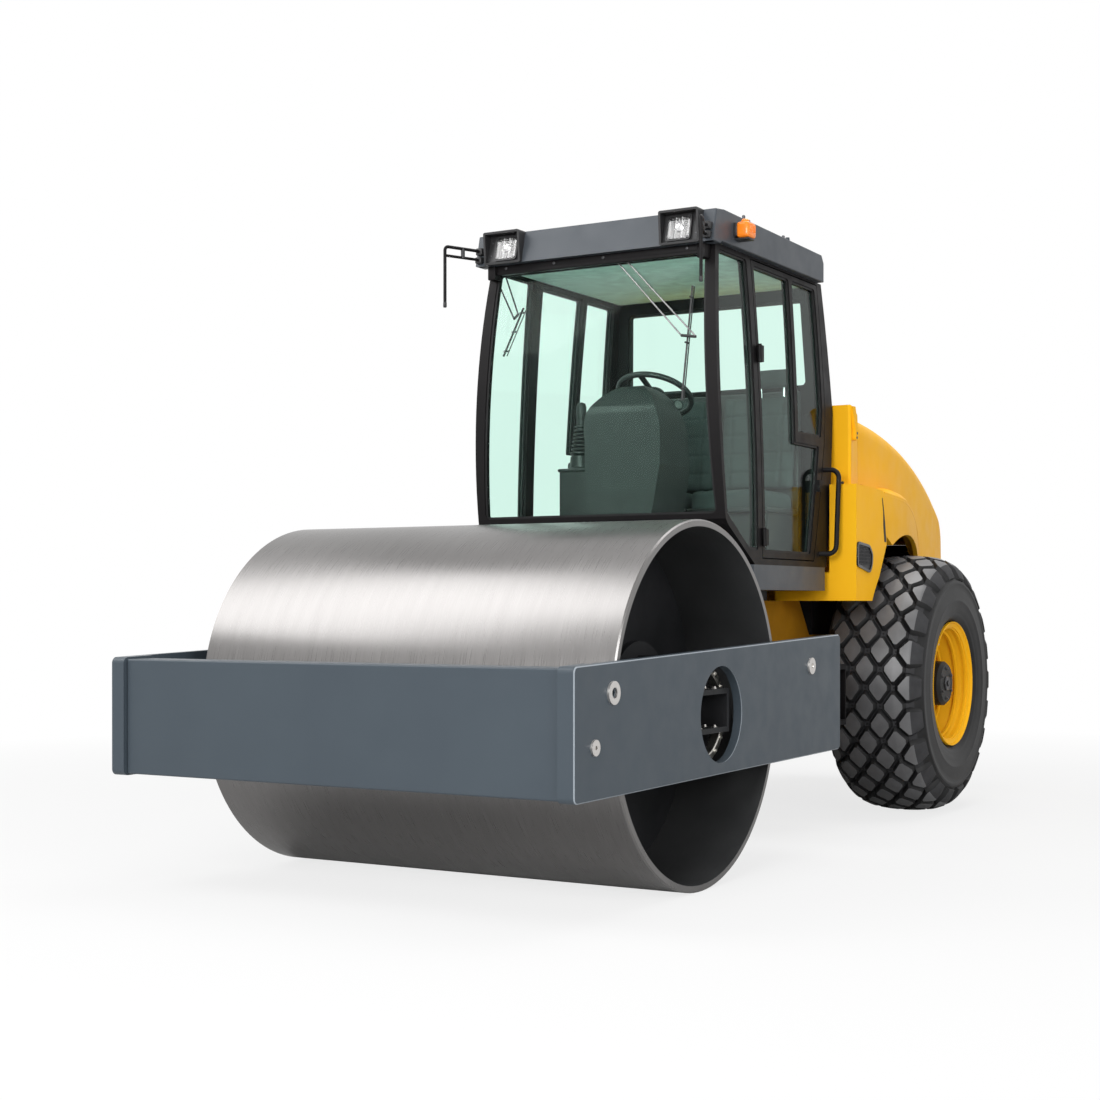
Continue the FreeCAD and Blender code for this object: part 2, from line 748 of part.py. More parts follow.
def cab():
    body = shell("cab_shell", 0, float(size.cab_wall))
    door_gap = 6
    openings = [side_prism("door_opening", grown(DOOR, door_gap), 1)]
    for side in (-1, 1):
        openings.append(side_prism("quarter_opening", QUARTER_PANE, side))
    openings.append(side_prism("right_low_opening", DOOR_LOW_PANE, -1))
    openings.append(side_prism("right_top_opening", DOOR_TOP_PANE, -1))
    openings.append(padded("windshield_opening", "y", [WINDSHIELD], (900, 1300)))
    openings.append(padded("rear_opening", "y", [REAR_PANE], (2200, 2500)))
    node("cab_frame", [cut("cab_frame_open", body, fused("cab_openings", openings))])

    pane_skin = shell("pane_skin", 16, 16 + float(size.glass_wall))
    door_skin = common("door_blank", shell("door_shell", 0, 44), side_prism("door_prism", DOOR, 1))
    door_holes = fused("door_panes_hole", [
        side_prism("door_low_hole", DOOR_LOW_PANE, 1), side_prism("door_top_hole", DOOR_TOP_PANE, 1)])
    latch = block("door_latch", (670, 706), (2150, 2190), (1760, 1820))
    # Knuckles on the hinge's leaning axis: height, place across, inner end of the leaf
    hinges = []
    lean = FreeCAD.Vector(-26, 0, 900).normalize()
    for height, across, leaf in ((1500, 702, 676), (2400, 676, 645)):
        knuckle = rod("door_knuckle", "z", (0, 0), (0, 90), 11)
        start = FreeCAD.Vector(across, 1452, height) - lean * 45
        knuckle.Placement = FreeCAD.Placement(start, FreeCAD.Rotation(FreeCAD.Vector(0, 0, 1), lean))
        for coordinate in "xyz":
            knuckle.setExpression("Placement.Base." + coordinate, None)
        hinges.append(knuckle)
        hinges.append(block("door_leaf", (leaf, across), (1461, 1490), (height - 40, height + 40)))
        hinges.append(block("door_neck", (across - 6, across + 6), (1452, 1490), (height - 40, height + 40)))
    leaf_frame = cut("door_frame_open", door_skin, door_holes)
    node("door_frame", [fused("door_frame_whole", [leaf_frame, latch] + hinges)])
    panes = [common("door_pane_%d" % i, pane_skin, side_prism("door_pane_prism_%d" % i, points, 1))
             for i, points in enumerate((DOOR_LOW_PANE, DOOR_TOP_PANE))]
    node("door_glass", panes)
    fixed = [("quarter_left", QUARTER_PANE, 1), ("quarter_right", QUARTER_PANE, -1),
             ("low_right", DOOR_LOW_PANE, -1), ("top_right", DOOR_TOP_PANE, -1)]
    node("side_glass", [common(name, pane_skin, side_prism(name + "_prism", points, side))
                        for name, points, side in fixed])
    node("windshield", [common("windshield_pane", pane_skin,
                               padded("windshield_prism", "y", [WINDSHIELD], (900, 1300)))])
    node("rear_glass", [common("rear_pane", pane_skin, padded("rear_prism", "y", [REAR_PANE], (2200, 2500)))])


def cab_floor():
    floor = block("floor", (-size.sill_half, size.sill_half), (size.floor_front, size.floor_rear),
                  (size.floor_low, size.floor_high))
    mounts = [rod("cab_mount", "z", (x, y), (1190, size.floor_low), 60) for x in (-330, 330) for y in (1850, 2180)]
    node("cab_floor", [fused("floor_whole", [floor] + mounts)])


# The visor's face leans back between its lower and its upper edge
VISOR_LOW, VISOR_HIGH, VISOR_LEAN = 2868, 3024, 38


def cab_roof():
    half, front, rear = size.roof_half, float(size.roof_front), float(size.roof_rear)
    low, high = float(size.roof_low), float(size.roof_high)
    slab = padded("roof_slab", "x", [[
        (front + 100, low), (front + 85, VISOR_LOW), (front, VISOR_LOW), (front + VISOR_LEAN, VISOR_HIGH),
        (front + 125, high + 14), (rear - 30, high), (rear, high - 40), (rear, low)]],
        (-half, half))
    soft = eased("roof_eased", slab, 6, on_plane("x", float(half)))
    softer = eased("roof_eased_right", soft, 6, on_plane("x", -float(half)))
    eyes = [rod("roof_eye", "z", (x, y), (high, high + 42), 16, 11) for x in (-600, 600) for y in (1480, 1970)]
    node("cab_roof", [fused("roof_whole", [softer] + eyes)])


def level_edge(edge):
    """Chooses the edges that run straight along Y."""
    box = edge.BoundBox
    return box.XLength < 1 and box.ZLength < 1


def visor_face(z):
    """The visor face's place along Y at a height."""
    return float(size.roof_front) + (z - VISOR_LOW) * VISOR_LEAN / (VISOR_HIGH - VISOR_LOW)


def lamps():
    """Work lamps on the leaning visor in hoods at its corners, and a turn lamp on each side."""
    low, high = 2866, 3027
    inner, outer, wall = 386, 595, 11
    front_low, front_high = 940, 928
    lens_low, lens_high = 2882, 3010
    back, lens_wall = 5, 11
    whole = padded("lamp_hood", "x", [[
        (front_low, low), (visor_face(low) - 0.5, low), (visor_face(high) - 0.5, high), (front_high, high)]],
        (inner, outer))
    hood = eased("lamp_hood_eased", whole, 10, level_edge)
    bottom, top = low + wall, high - wall
    hollow = padded("lamp_hollow", "x", [[
        (front_low - 40, bottom), (visor_face(bottom) - back, bottom), (visor_face(top) - back, top),
        (front_low - 40, top)]], (inner + wall, outer - wall))
    lens_back, lens_front = back, back + lens_wall
    lens = padded("lamp_lens", "x", [[
        (visor_face(lens_low) - lens_front, lens_low), (visor_face(lens_low) - lens_back, lens_low),
        (visor_face(lens_high) - lens_back, lens_high), (visor_face(lens_high) - lens_front, lens_high)]],
        (412, 546))
    node("lamp_hoods", both_sides(cut("lamp_hood_open", hood, hollow)))
    node("work_lamps", both_sides(lens))
    bulb = fused("turn_lamp", [
        block("turn_lamp_body", (size.roof_half, size.roof_half + 85), (1180, 1270), (2925, 2990)),
        rod("turn_lamp_top", "z", (size.roof_half + 42, 1225), (2990, 3012), 20)])
    node("turn_lamps", both_sides(bulb))


def mirror_arms():
    upper = tube("arm_upper", [(630, 972, 2940), (630, 920, 2940), (700, 745, 2940), (700, 745, 2640)], 8, 20)
    lower = tube("arm_lower", [(630, 961.5, 2896), (630, 920, 2896), (700, 752, 2896)], 7, 20)
    node("mirror_arms", both_sides(fused("mirror_arm", [upper, lower])))


def grab_rails():
    bar = tube("grab_bar", [(670, 2261, 1880), (765, 2271, 1880), (765, 2230, 1435), (675, 2184, 1435)], 13, 45)
    node("grab_rails", both_sides(cut("grab_rail", bar, cab_solid("rail_room", 0))))


def interior():
    floor = size.floor_high
    column_side = padded("column_side", "x", [[
        (1190, 1540), (1480, 1365), (1560, 1365), (1520, 1900, 60), (1440, 2240, 60), (1300, 2270, 70),
        (1190, 2140, 80)]], (-200, 300))
    column_front = padded("column_front", "y", [[
        (-120, 1365), (170, 1365), (262, 1860), (262, 1990), (200, 2190, "via"), (85, 2271), (-95, 2210, "via"),
        (-158, 1990), (-158, 1860)]], (1100, 1600))
    column = common("console_column", column_side, column_front)
    lever = fused("lever", [
        block("lever_box", (-520, -330), (1560, 2080), (floor, 1880)),
        rod("lever_boot", "z", (-445, 1660), (1880, 2010), 55, 36),
        rod("lever_grip", "z", (-445, 1660), (2010, 2150), 26)])
    node("controls", [column, lever])
    wheel = doc.addObject("Part::Torus", "wheel_ring")
    bind(wheel, Radius1=190, Radius2=15)
    hub = rod("wheel_hub", "z", (0, 0), (-60, 12), 36)
    spokes = [block("wheel_spoke", (-186, 186), (-14, 14), (-8, 8))]
    steering = fused("steering_wheel_solid", [wheel, hub] + spokes)
    steering.Placement = FreeCAD.Placement(FreeCAD.Vector(), FreeCAD.Rotation(FreeCAD.Vector(1, 0, 0), -28))
    bind(steering, x=30, y=1590, z=2245)
    node("steering_wheel", [steering])
    pedestal = block("pedestal", (-220, 560), (1800, 2120), (floor, 1640))
    node("seat_pedestal", [pedestal])
    cushions = [block("seat_cushion", x, (1720, 2150), (1641, 1760)) for x in ((-240, 125), (140, 580))]
    node("seat_cushions", cushions)
    backs = []
    for low, high in ((-240, 125), (140, 580)):
        backs.append(padded("seat_back", "x", [[
            (2060, 1762), (2160, 1762), (2220, 2290), (2130, 2290)]], (low, high)))
    rest = block("headrest", (290, 560), (2130, 2215), (2310, 2420))
    node("seat_backs", backs + [rest])


# Rear bodywork

# Half widths of the bulkhead at its front and at its rear
BULKHEAD_WIDE, BULKHEAD_NARROW = 765, 712
ARCH_RADIUS = 850


def bulkhead_plan(name, grow, span):
    """The bulkhead seen from above, grown by a gap."""
    front, rear = float(size.bulkhead_front) - grow, float(size.bulkhead_rear) + grow
    wide, narrow = BULKHEAD_WIDE + grow, BULKHEAD_NARROW + grow
    return padded(name, "z", [[(-wide, front), (wide, front), (narrow, rear), (-narrow, rear)]], span)


def bulkhead():
    """The fixed panel between the cab and the hood, with a lug on each side."""
    low, high = 1192, 2238
    front, rear = float(size.bulkhead_front), float(size.bulkhead_rear)
    plan = bulkhead_plan("bulkhead_plan", 0, (low, high))
    side = padded("bulkhead_side", "x", [[
        (front, low), (rear, low), (rear, 2165), (rear - 12, 2205), (2585, 2222), (front, high)]], (-800, 800))
    arch = rod("bulkhead_arch", "x", (size.axle_y, size.arch_z), (-1100, 1100), ARCH_RADIUS)
    wall = cut("bulkhead_wall", common("bulkhead_blank", plan, side), arch)
    soft = eased("bulkhead_eased", wall, 14, upright_at(float(size.bulkhead_front), BULKHEAD_WIDE))
    lug = padded("bulkhead_lug", "x", [[
        (2448, 2230), (2486, 2230), (2531, 2110), (2531, 2052, 12), (2487, 2052, 12), (2487, 2104)]], (735, 774))
    node("bulkhead", [fused("bulkhead_whole", [soft] + both_sides(lug))])


def upright_at(y, x):
    """Chooses upright edges at a place along Y and at a distance on both sides."""
    def chosen(edge):
        box = edge.BoundBox
        return abs(box.YMin - y) < 1 and abs(box.YMax - y) < 1 and abs(abs(box.Center.x) - x) < 1
    return chosen


def fender_boxes():
    """The box in front of each rear wheel, cut by the wheel's arch."""
    arch = rod("arch_cut", "x", (size.axle_y, size.arch_z), (400, 1100), ARCH_RADIUS)
    outside = padded("fender_side", "x", [[
        (2300, 1190), (2560, 1190), (2760, 1500), (2735, 1790, 60), (2300, 1805)]], (size.sill_half, 850))
    inside = block("fender_foot", (size.cheek_outer - 30, size.sill_half), (2300, 2640), (1190, 1340))
    low = fused("fender_solid", [outside, inside])
    back = bulkhead_plan("bulkhead_room", 0.5, (1000, 2300))
    box = cut("fender_box", cut("fender_arched", low, arch), back)
    node("fender_boxes", both_sides(box))


def hood_side(inset):
    i = inset
    front = float(size.hood_front)
    return [
        (front + i, 1000), (4715 - i, 860), (4788.5 - i, 1200, 300), (4742 - i, 1736 - i, 260 - i),
        (4330 - i * 0.3, 1878 - i), (3519, 2097 - i, "via"), (front + i, 2203 - i)]


def hood_plan(inset):
    i = inset
    return [
        (-712 + i, 2500), (-663 + i, 3600, "via"), (-465 + i, 4950), (465 - i, 4950), (663 - i, 3600, "via"),
        (712 - i, 2500)]


def hood():
    """One shell: crown and sides with soft shoulders, and a flare that stands out over each wheel."""
    def solid(name, inset):
        side = padded(name + "_side", "x", [hood_side(inset)], (-900, 900))
        plan = padded(name + "_plan", "z", [hood_plan(inset)], (700, 2300))
        return common(name, side, plan)

    def shoulders(edge):
        """Edges between the crown or the rear and the two sides."""
        middle = edge.valueAt((edge.FirstParameter + edge.LastParameter) / 2)
        outside = abs(middle.x) > 400
        return outside and middle.z > 900 and middle.y > float(size.hood_front) + 40

    def flare(name, inset):
        i = inset
        side = padded(name + "_side", "x", [[
            (2775 + i, 1400), (3900 - i, 1400), (3640 - i, 1600 - i, "via"), (3180, 1762 - i),
            (2775 + i, 1788 - i)]], (-900, 900))
        plan = padded(name + "_plan", "z", [[
            (-830 + i, 2700), (-800 + i, 3250, "via"), (-620 + i, 3950), (620 - i, 3950),
            (800 - i, 3250, "via"), (830 - i, 2700)]], (1300, 1900))
        return common(name, side, plan)

    wall, round_over = 26, 100
    crown = eased("hood_crown", solid("hood_out", 0), round_over, shoulders)
    crown_inside = eased("hood_crown_in", solid("hood_in", wall), round_over - wall, shoulders)
    outer = fused("hood_outer", [crown, flare("hood_flare", 0)])
    inner = fused("hood_inner", [crown_inside, flare("hood_flare_in", wall)])
    skin = cut("hood_skin", outer, inner)
    arch = rod("hood_arch", "x", (size.axle_y, size.arch_z), (-1100, 1100), ARCH_RADIUS)
    low = padded("hood_low", "x", [[(2400, 500), (4040, 500), (4040, 1000), (2770, 1560), (2400, 1560)]], (-1100, 1100))
    grille = block("grille_opening", (-360, 360), (4500, 4900), (960, 1560))
    boxes = block("hood_front_room", (-1100, 1100), (2400, 2770), (900, 1830))
    open_skin = cut("hood_open", skin, fused("hood_cuts", [arch, low, grille, boxes]))
    hinge_y, hinge_z = size.hood_front - 3, 2223
    knuckles = []
    for x in (-420, 340):
        knuckles.append(rod("hood_knuckle", "x", (hinge_y, hinge_z), (x, x + 80), 14))
        knuckles.append(block("hood_leaf", (x, x + 80), (hinge_y + 4, hinge_y + 60), (2188, hinge_z + 6)))
    node("hood_shell", [fused("hood_whole", [open_skin] + knuckles)])
    mesh = common("grille_mesh", cut("grille_skin", solid("grille_out", 6), solid("grille_in", 18)),
                  block("grille_room", (-359, 359), (4500, 4900), (961, 1559)))
    node("hood_grille", [mesh])


def steps():
    """Two treads on each side under the door, carried from the frame's cheeks."""
    treads = [block("step_tread", (600, 800), (1995, 2270), (z, z + 28)) for z in (540, 830)]
    sides = [block("step_side", (600, 800), (y, y + 12), (540, 858)) for y in (1983, 2270)]
    arm = [block("step_arm", (size.cheek_outer, 600), (2180, 2260), (z, z + 60)) for z in (560, 800)]
    back = block("step_back", (588, 600), (1983, 2282), (540, 860))
    node("access_steps", both_sides(fused("steps", treads + sides + arm + [back])))


for build in (drum, drum_supports, side_plates, crossbeams, scrapers, center_link, steering_rams, rear_frame,
              counterweight, rear_axle, wheels, engine, cab, cab_floor, cab_roof, lamps, mirror_arms, grab_rails,
              interior, bulkhead, fender_boxes, hood, steps):
    build()

doc.recompute()

faults = [thing.Name for thing in doc.Objects if "Invalid" in thing.State or "Error" in thing.State]
for piece in NODES:
    if piece.Shape.isNull() or not piece.Shape.isValid():
        faults.append(piece.Label)
if faults:
    raise RuntimeError("failed objects: " + ", ".join(faults))

for piece in NODES:
    piece.Shape.exportStep(os.path.join("parts", piece.Label + ".step"))
print("wrote", len(NODES), "pieces")
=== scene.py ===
import json
import math

import bmesh
import bpy
from mathutils import Matrix, Vector


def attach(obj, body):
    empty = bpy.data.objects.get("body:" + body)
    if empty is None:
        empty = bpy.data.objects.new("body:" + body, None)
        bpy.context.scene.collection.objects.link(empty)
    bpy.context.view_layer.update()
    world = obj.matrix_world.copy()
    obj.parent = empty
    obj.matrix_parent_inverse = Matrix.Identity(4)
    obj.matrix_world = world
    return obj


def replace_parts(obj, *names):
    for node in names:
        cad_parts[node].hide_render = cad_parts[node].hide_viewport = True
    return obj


# Dress for a single drum road roller, in metres.
# X runs to the machine's left, Y to its rear and Z up, with the ground at Z = 0.

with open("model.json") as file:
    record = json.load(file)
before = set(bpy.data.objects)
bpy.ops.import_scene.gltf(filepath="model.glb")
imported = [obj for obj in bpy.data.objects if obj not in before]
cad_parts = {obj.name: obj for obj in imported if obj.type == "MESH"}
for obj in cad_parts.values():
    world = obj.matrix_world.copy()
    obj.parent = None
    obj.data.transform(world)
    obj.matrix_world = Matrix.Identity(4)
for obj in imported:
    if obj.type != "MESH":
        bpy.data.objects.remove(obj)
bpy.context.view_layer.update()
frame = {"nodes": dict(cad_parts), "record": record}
NODES = frame["nodes"]

DRUM_Y = -1.830
DRUM_RADIUS = 0.760
AXLE_Y = 1.413
AXLE_Z = 0.724
SIDES = ((1, "left"), (-1, "right"))
SQUARE = ((-1, -1), (1, -1), (1, 1), (-1, 1))


def y(from_drum):
    """A place along Y, given in metres behind the drum's axle."""
    return DRUM_Y + from_drum


# Materials

def new_material(name):
    material = bpy.data.materials.new(name)
    material.use_nodes = True
    tree = material.node_tree
    shader = tree.nodes["Principled BSDF"]
    return material, tree, shader


def set_values(shader, **values):
    """Set a shader's plain values by socket name, with underscores for spaces."""
    for key, value in values.items():
        shader.inputs[key.replace("_", " ")].default_value = value


def node(tree, kind, **settings):
    made = tree.nodes.new(kind)
    for key, value in settings.items():
        setattr(made, key, value)
    return made


def coordinates(tree, scale=(1, 1, 1)):
    """Object coordinates, scaled along each axis."""
    source = node(tree, "ShaderNodeTexCoord")
    mapping = node(tree, "ShaderNodeMapping")
    mapping.inputs["Scale"].default_value = scale
    tree.links.new(source.outputs["Object"], mapping.inputs["Vector"])
    return mapping.outputs["Vector"]


def noise(tree, scale, stretch=(1, 1, 1), detail=4, vector=None):
    made = node(tree, "ShaderNodeTexNoise")
    made.inputs["Scale"].default_value = scale
    made.inputs["Detail"].default_value = detail
    tree.links.new(vector or coordinates(tree, stretch), made.inputs["Vector"])
    return made.outputs["Fac"]


def span(tree, value, low, high, to_low, to_high):
    """A value carried from one range to another, and kept inside it."""
    made = node(tree, "ShaderNodeMapRange")
    for key, number in (("From Min", low), ("From Max", high), ("To Min", to_low), ("To Max", to_high)):
        made.inputs[key].default_value = number
    tree.links.new(value, made.inputs["Value"])
    return made.outputs["Result"]


def mixed(tree, factor, first, second):
    """Two colours, or colour outputs, mixed by a factor."""
    made = node(tree, "ShaderNodeMix", data_type="RGBA")
    tree.links.new(factor, made.inputs["Factor"])
    for socket, colour in ((made.inputs[6], first), (made.inputs[7], second)):
        if isinstance(colour, tuple):
            socket.default_value = (*colour[:3], 1)
        else:
            tree.links.new(colour, socket)
    return made.outputs[2]


def bump(tree, shader, height, strength, distance):
    made = node(tree, "ShaderNodeBump")
    made.inputs["Strength"].default_value = strength
    made.inputs["Distance"].default_value = distance
    tree.links.new(height, made.inputs["Height"])
    tree.links.new(made.outputs["Normal"], shader.inputs["Normal"])


def patchy(tree, shader, first, second, scale, low=0.3, high=0.7, detail=4):
    """A base colour that wanders between two colours in soft patches."""
    patches = span(tree, noise(tree, scale, detail=detail), low, high, 0, 1)
    tree.links.new(mixed(tree, patches, first, second), shader.inputs["Base Color"])


def math_node(tree, operation, first, second=0.0):
    """A math node of two values, each a number or an output."""
    made = node(tree, "ShaderNodeMath", operation=operation)
    for socket, value in zip(made.inputs, (first, second)):
        if isinstance(value, (int, float)):
            socket.default_value = value
        else:
            tree.links.new(value, socket)
    return made.outputs[0]


def axes(tree):
    """The object coordinates one by one."""
    source = node(tree, "ShaderNodeTexCoord")
    parts = node(tree, "ShaderNodeSeparateXYZ")
    tree.links.new(source.outputs["Object"], parts.inputs["Vector"])
    return parts.outputs


def blended(tree, factor, first, second, output):
    """Two shaders mixed by a factor into the output of a material or world."""
    both = node(tree, "ShaderNodeMixShader")
    for socket, value in zip(both.inputs, (factor, first.outputs[0], second.outputs[0])):
        tree.links.new(value, socket)
    tree.links.new(both.outputs[0], tree.nodes[output].inputs["Surface"])


def paint(name, colour, worn, roughness, coat, grain=0.15, shine=0.3):
    """Sprayed paint: slight unevenness of colour and gloss, and a fine skin."""
    material, tree, shader = new_material(name)
    patchy(tree, shader, colour, worn, 3.0, 0.35, detail=6)
    gloss = span(tree, noise(tree, 9.0, detail=5), 0.3, 0.7, roughness - 0.06, roughness + 0.08)
    tree.links.new(gloss, shader.inputs["Roughness"])
    set_values(shader, Coat_Weight=coat, Coat_Roughness=0.1, Specular_IOR_Level=shine)
    bump(tree, shader, noise(tree, 420.0, detail=2), grain * 0.5, 0.0003)
    return material


def plastic(name, colour, roughness, grain=900.0, depth=0.0003, strength=0.06, shine=0.3):
    """Moulded plastic, rubber or cloth: two close shades and a grain."""
    material, tree, shader = new_material(name)
    lighter = tuple(min(1, c * 1.35 + 0.004) for c in colour)
    patchy(tree, shader, colour, lighter, 14.0, high=0.75)
    set_values(shader, Roughness=roughness, Specular_IOR_Level=shine)
    bump(tree, shader, noise(tree, grain, detail=2), strength, depth)
    return material


def metal(name, colour, roughness, grain=600.0):
    """Bare metal with uneven gloss."""
    material, tree, shader = new_material(name)
    patchy(tree, shader, colour, tuple(c * 0.75 for c in colour), 25.0)
    gloss = span(tree, noise(tree, 60.0), 0.3, 0.7, roughness * 0.8, roughness * 1.3)
    tree.links.new(gloss, shader.inputs["Roughness"])
    set_values(shader, Metallic=1.0)
    bump(tree, shader, noise(tree, grain), 0.12, 0.0003)
    return material


def glass(name, tint, shade, bend=1.3):
    """Clear glass. Light that falls through it takes on the shade and keeps going straight."""
    material, tree, shader = new_material(name)
    patchy(tree, shader, tint, tuple(min(1, c * 1.01) for c in tint), 2.5)
    set_values(shader, Roughness=0.0, Transmission_Weight=1.0, IOR=bend)
    rays = node(tree, "ShaderNodeLightPath").outputs
    clear = node(tree, "ShaderNodeBsdfTransparent")
    clear.inputs["Color"].default_value = (*shade, 1)
    passing = math_node(tree, "MAXIMUM", rays["Is Shadow Ray"], rays["Is Diffuse Ray"])
    blended(tree, passing, shader, clear, "Material Output")
    return material


def drum_steel():
    """Rolled steel with fine brush marks that run around the drum, and dark paint inside the tube."""
    material, tree, shader = new_material("drum_steel")
    across_drum, lengthwise, upward = axes(tree)
    up = math_node(tree, "SUBTRACT", upward, DRUM_RADIUS)
    along = math_node(tree, "SUBTRACT", lengthwise, DRUM_Y)
    angle = math_node(tree, "ARCTAN2", up, along)
    squares = [math_node(tree, "MULTIPLY", value, value) for value in (up, along)]
    radius = math_node(tree, "SQRT", math_node(tree, "ADD", *squares))
    outside = span(tree, radius, DRUM_RADIUS - 0.0285, DRUM_RADIUS - 0.0275, 0, 1)

    def wrapped(across_scale, round_scale, detail):
        """Noise laid round the drum."""
        spot = node(tree, "ShaderNodeCombineXYZ")
        tree.links.new(math_node(tree, "MULTIPLY", across_drum, across_scale), spot.inputs["X"])
        tree.links.new(math_node(tree, "MULTIPLY", angle, round_scale), spot.inputs["Y"])
        return noise(tree, 1.0, detail=detail, vector=spot.outputs["Vector"])

    lines, bands = wrapped(320.0, 5.0, 8), wrapped(22.0, 1.6, 5)
    shade = mixed(tree, span(tree, lines, 0.3, 0.7, 0, 1), (0.190, 0.184, 0.181), (0.228, 0.221, 0.217))
    steel = mixed(tree, span(tree, bands, 0.35, 0.7, 0, 0.35), shade, (0.176, 0.170, 0.167))
    dusty = span(tree, noise(tree, 3.0), 0.3, 0.7, 0, 1)
    dust = mixed(tree, dusty, (0.020, 0.021, 0.022), (0.036, 0.037, 0.038))
    tree.links.new(mixed(tree, outside, dust, steel), shader.inputs["Base Color"])
    tree.links.new(outside, shader.inputs["Metallic"])
    duller = math_node(tree, "MULTIPLY", math_node(tree, "SUBTRACT", 1.0, outside), 0.2)
    gloss = math_node(tree, "ADD", span(tree, lines, 0.3, 0.7, 0.26, 0.34), duller)
    tree.links.new(gloss, shader.inputs["Roughness"])
    set_values(shader, Anisotropic=0.5)
    bump(tree, shader, lines, 0.12, 0.0003)
    return material


def plate_paint():
    """The side plates: slate paint, a lighter stripe along the outer face's edge that is a painted highlight,
    and bare steel bosses.
    """
    material = paint("plate_paint", *PAINTS["frame_slate"])
    tree = material.node_tree
    shader = tree.nodes["Principled BSDF"]
    reach = math_node(tree, "ABSOLUTE", axes(tree)["X"])
    boss = span(tree, reach, PLATE_FACE + 0.0002, PLATE_FACE + 0.0006, 0, 1)
    # A lighter stripe just inside the outer face's edge: a painted highlight on the chamfer.
    edge = math_node(tree, "MULTIPLY", span(tree, reach, PLATE_FACE - 0.0046, PLATE_FACE - 0.0042, 0, 1),
                     span(tree, reach, PLATE_FACE - 0.0006, PLATE_FACE - 0.0003, 1, 0))
    painted = shader.inputs["Base Color"].links[0].from_socket
    painted_edge_highlight = mixed(tree, edge, painted, (0.24, 0.27, 0.30))
    tree.links.new(mixed(tree, boss, painted_edge_highlight, (0.62, 0.60, 0.58)), shader.inputs["Base Color"])
    tree.links.new(boss, shader.inputs["Metallic"])
    return material


PLATE_FACE = 1.111
# Colour, worn colour, roughness, coat, grain and shine
PAINTS = {
    "frame_slate": ((0.044, 0.057, 0.070), (0.047, 0.061, 0.074), 0.42, 0.05, 0.15, 0.25),
    "inner_steel": ((0.012, 0.013, 0.014), (0.020, 0.020, 0.022), 0.5, 0.0, 0.15, 0.15),
    "roof_slate": ((0.052, 0.060, 0.070), (0.057, 0.065, 0.075), 0.42, 0.05, 0.15, 0.25),
    "cab_black": ((0.006, 0.0055, 0.006), (0.009, 0.008, 0.0085), 0.46, 0.0, 0.15, 0.12),
    "hood_yellow": ((0.91, 0.47, 0.014), (0.88, 0.44, 0.011), 0.42, 0.0, 0.15, 0.06),
    # The chassis yellow is darker than the hood's: partly its own duller paint, partly painted shade for the
    # frame under the cab.
    "chassis_yellow": ((0.36, 0.165, 0.008), (0.26, 0.115, 0.006), 0.45, 0.0, 0.15, 0.15),
    "cast_black": ((0.012, 0.012, 0.012), (0.020, 0.019, 0.018), 0.5, 0.0, 0.6, 0.2),
    "satin_black": ((0.008, 0.008, 0.009), (0.013, 0.013, 0.014), 0.28, 0.3),
}
# Colour, roughness, then the grain's scale, depth and strength, and shine
PLASTICS = {
    "tyre_rubber": ((0.008, 0.008, 0.0085), 0.5, 350.0, 0.0006, 0.25, 0.25),
    "tyre_top": ((0.072, 0.072, 0.075), 0.42, 260.0, 0.0008, 0.25, 0.8),
    "tyre_floor": ((0.030, 0.030, 0.032), 0.7, 260.0, 0.0010, 0.3, 0.2),
    "black_plastic": ((0.017, 0.017, 0.018), 0.45, 900.0, 0.0003, 0.02, 0.35),
    "seat_fabric": ((0.045, 0.050, 0.052), 0.85, 1400.0, 0.0006, 0.3),
    "lamp_orange": ((0.9, 0.2, 0.008), 0.22, 900.0, 0.0003, 0.06, 0.5),
    "seal_rubber": ((0.007, 0.007, 0.0075), 0.6, 700.0, 0.0002),
    "pale_disc": ((0.10, 0.10, 0.10), 0.4),
    "headliner_cloth": ((0.66, 0.72, 0.70), 0.9, 1200.0, 0.0004),
}
# Colour, roughness and the grain's scale
METALS = {
    "ram_chrome": ((0.7, 0.7, 0.72), 0.12),
    "bolt_dark": ((0.09, 0.09, 0.095), 0.42),
    "bolt_steel": ((0.62, 0.60, 0.57), 0.3),
    "pale_steel": ((0.78, 0.76, 0.70), 0.34),
    "satin_steel": ((0.46, 0.46, 0.46), 0.26),
    "lamp_silver": ((0.66, 0.66, 0.66), 0.14, 300.0),
}
# Tint, shade and how strongly light bends
GLASSES = {
    "cab_glass": ((0.82, 0.965, 0.91), (0.84, 0.99, 0.93), 1.13),
    "lamp_lens": ((0.96, 0.97, 0.98), (0.95, 0.95, 0.95)),
    "clear_cover": ((0.99, 0.99, 0.99), (0.98, 0.98, 0.98)),
}
MATERIALS = {"drum_steel": drum_steel(), "plate_paint": plate_paint()}
for make, rows in ((paint, PAINTS), (plastic, PLASTICS), (metal, METALS), (glass, GLASSES)):
    MATERIALS.update({name: make(name, *row) for name, row in rows.items()})

# Nodes whose finish differs from the rest of their slot
OWN_MATERIAL = {"side_plates": "plate_paint"}

for part in frame["record"]["subparts"]:
    shown = NODES[part["node"]].data
    shown.materials.clear()
    shown.materials.append(MATERIALS[OWN_MATERIAL.get(part["node"], part["material_slot"])])


# Mesh helpers

def place(x, from_drum, z):
    """A point, with Y given behind the drum's axle."""
    return Vector((x, y(from_drum), z))


def facing(point, along):
    """A matrix at a point whose Z axis runs along a direction."""
    turn = Vector(along).to_track_quat("Z", "Y").to_matrix().to_4x4()
    return Matrix.Translation(point) @ turn


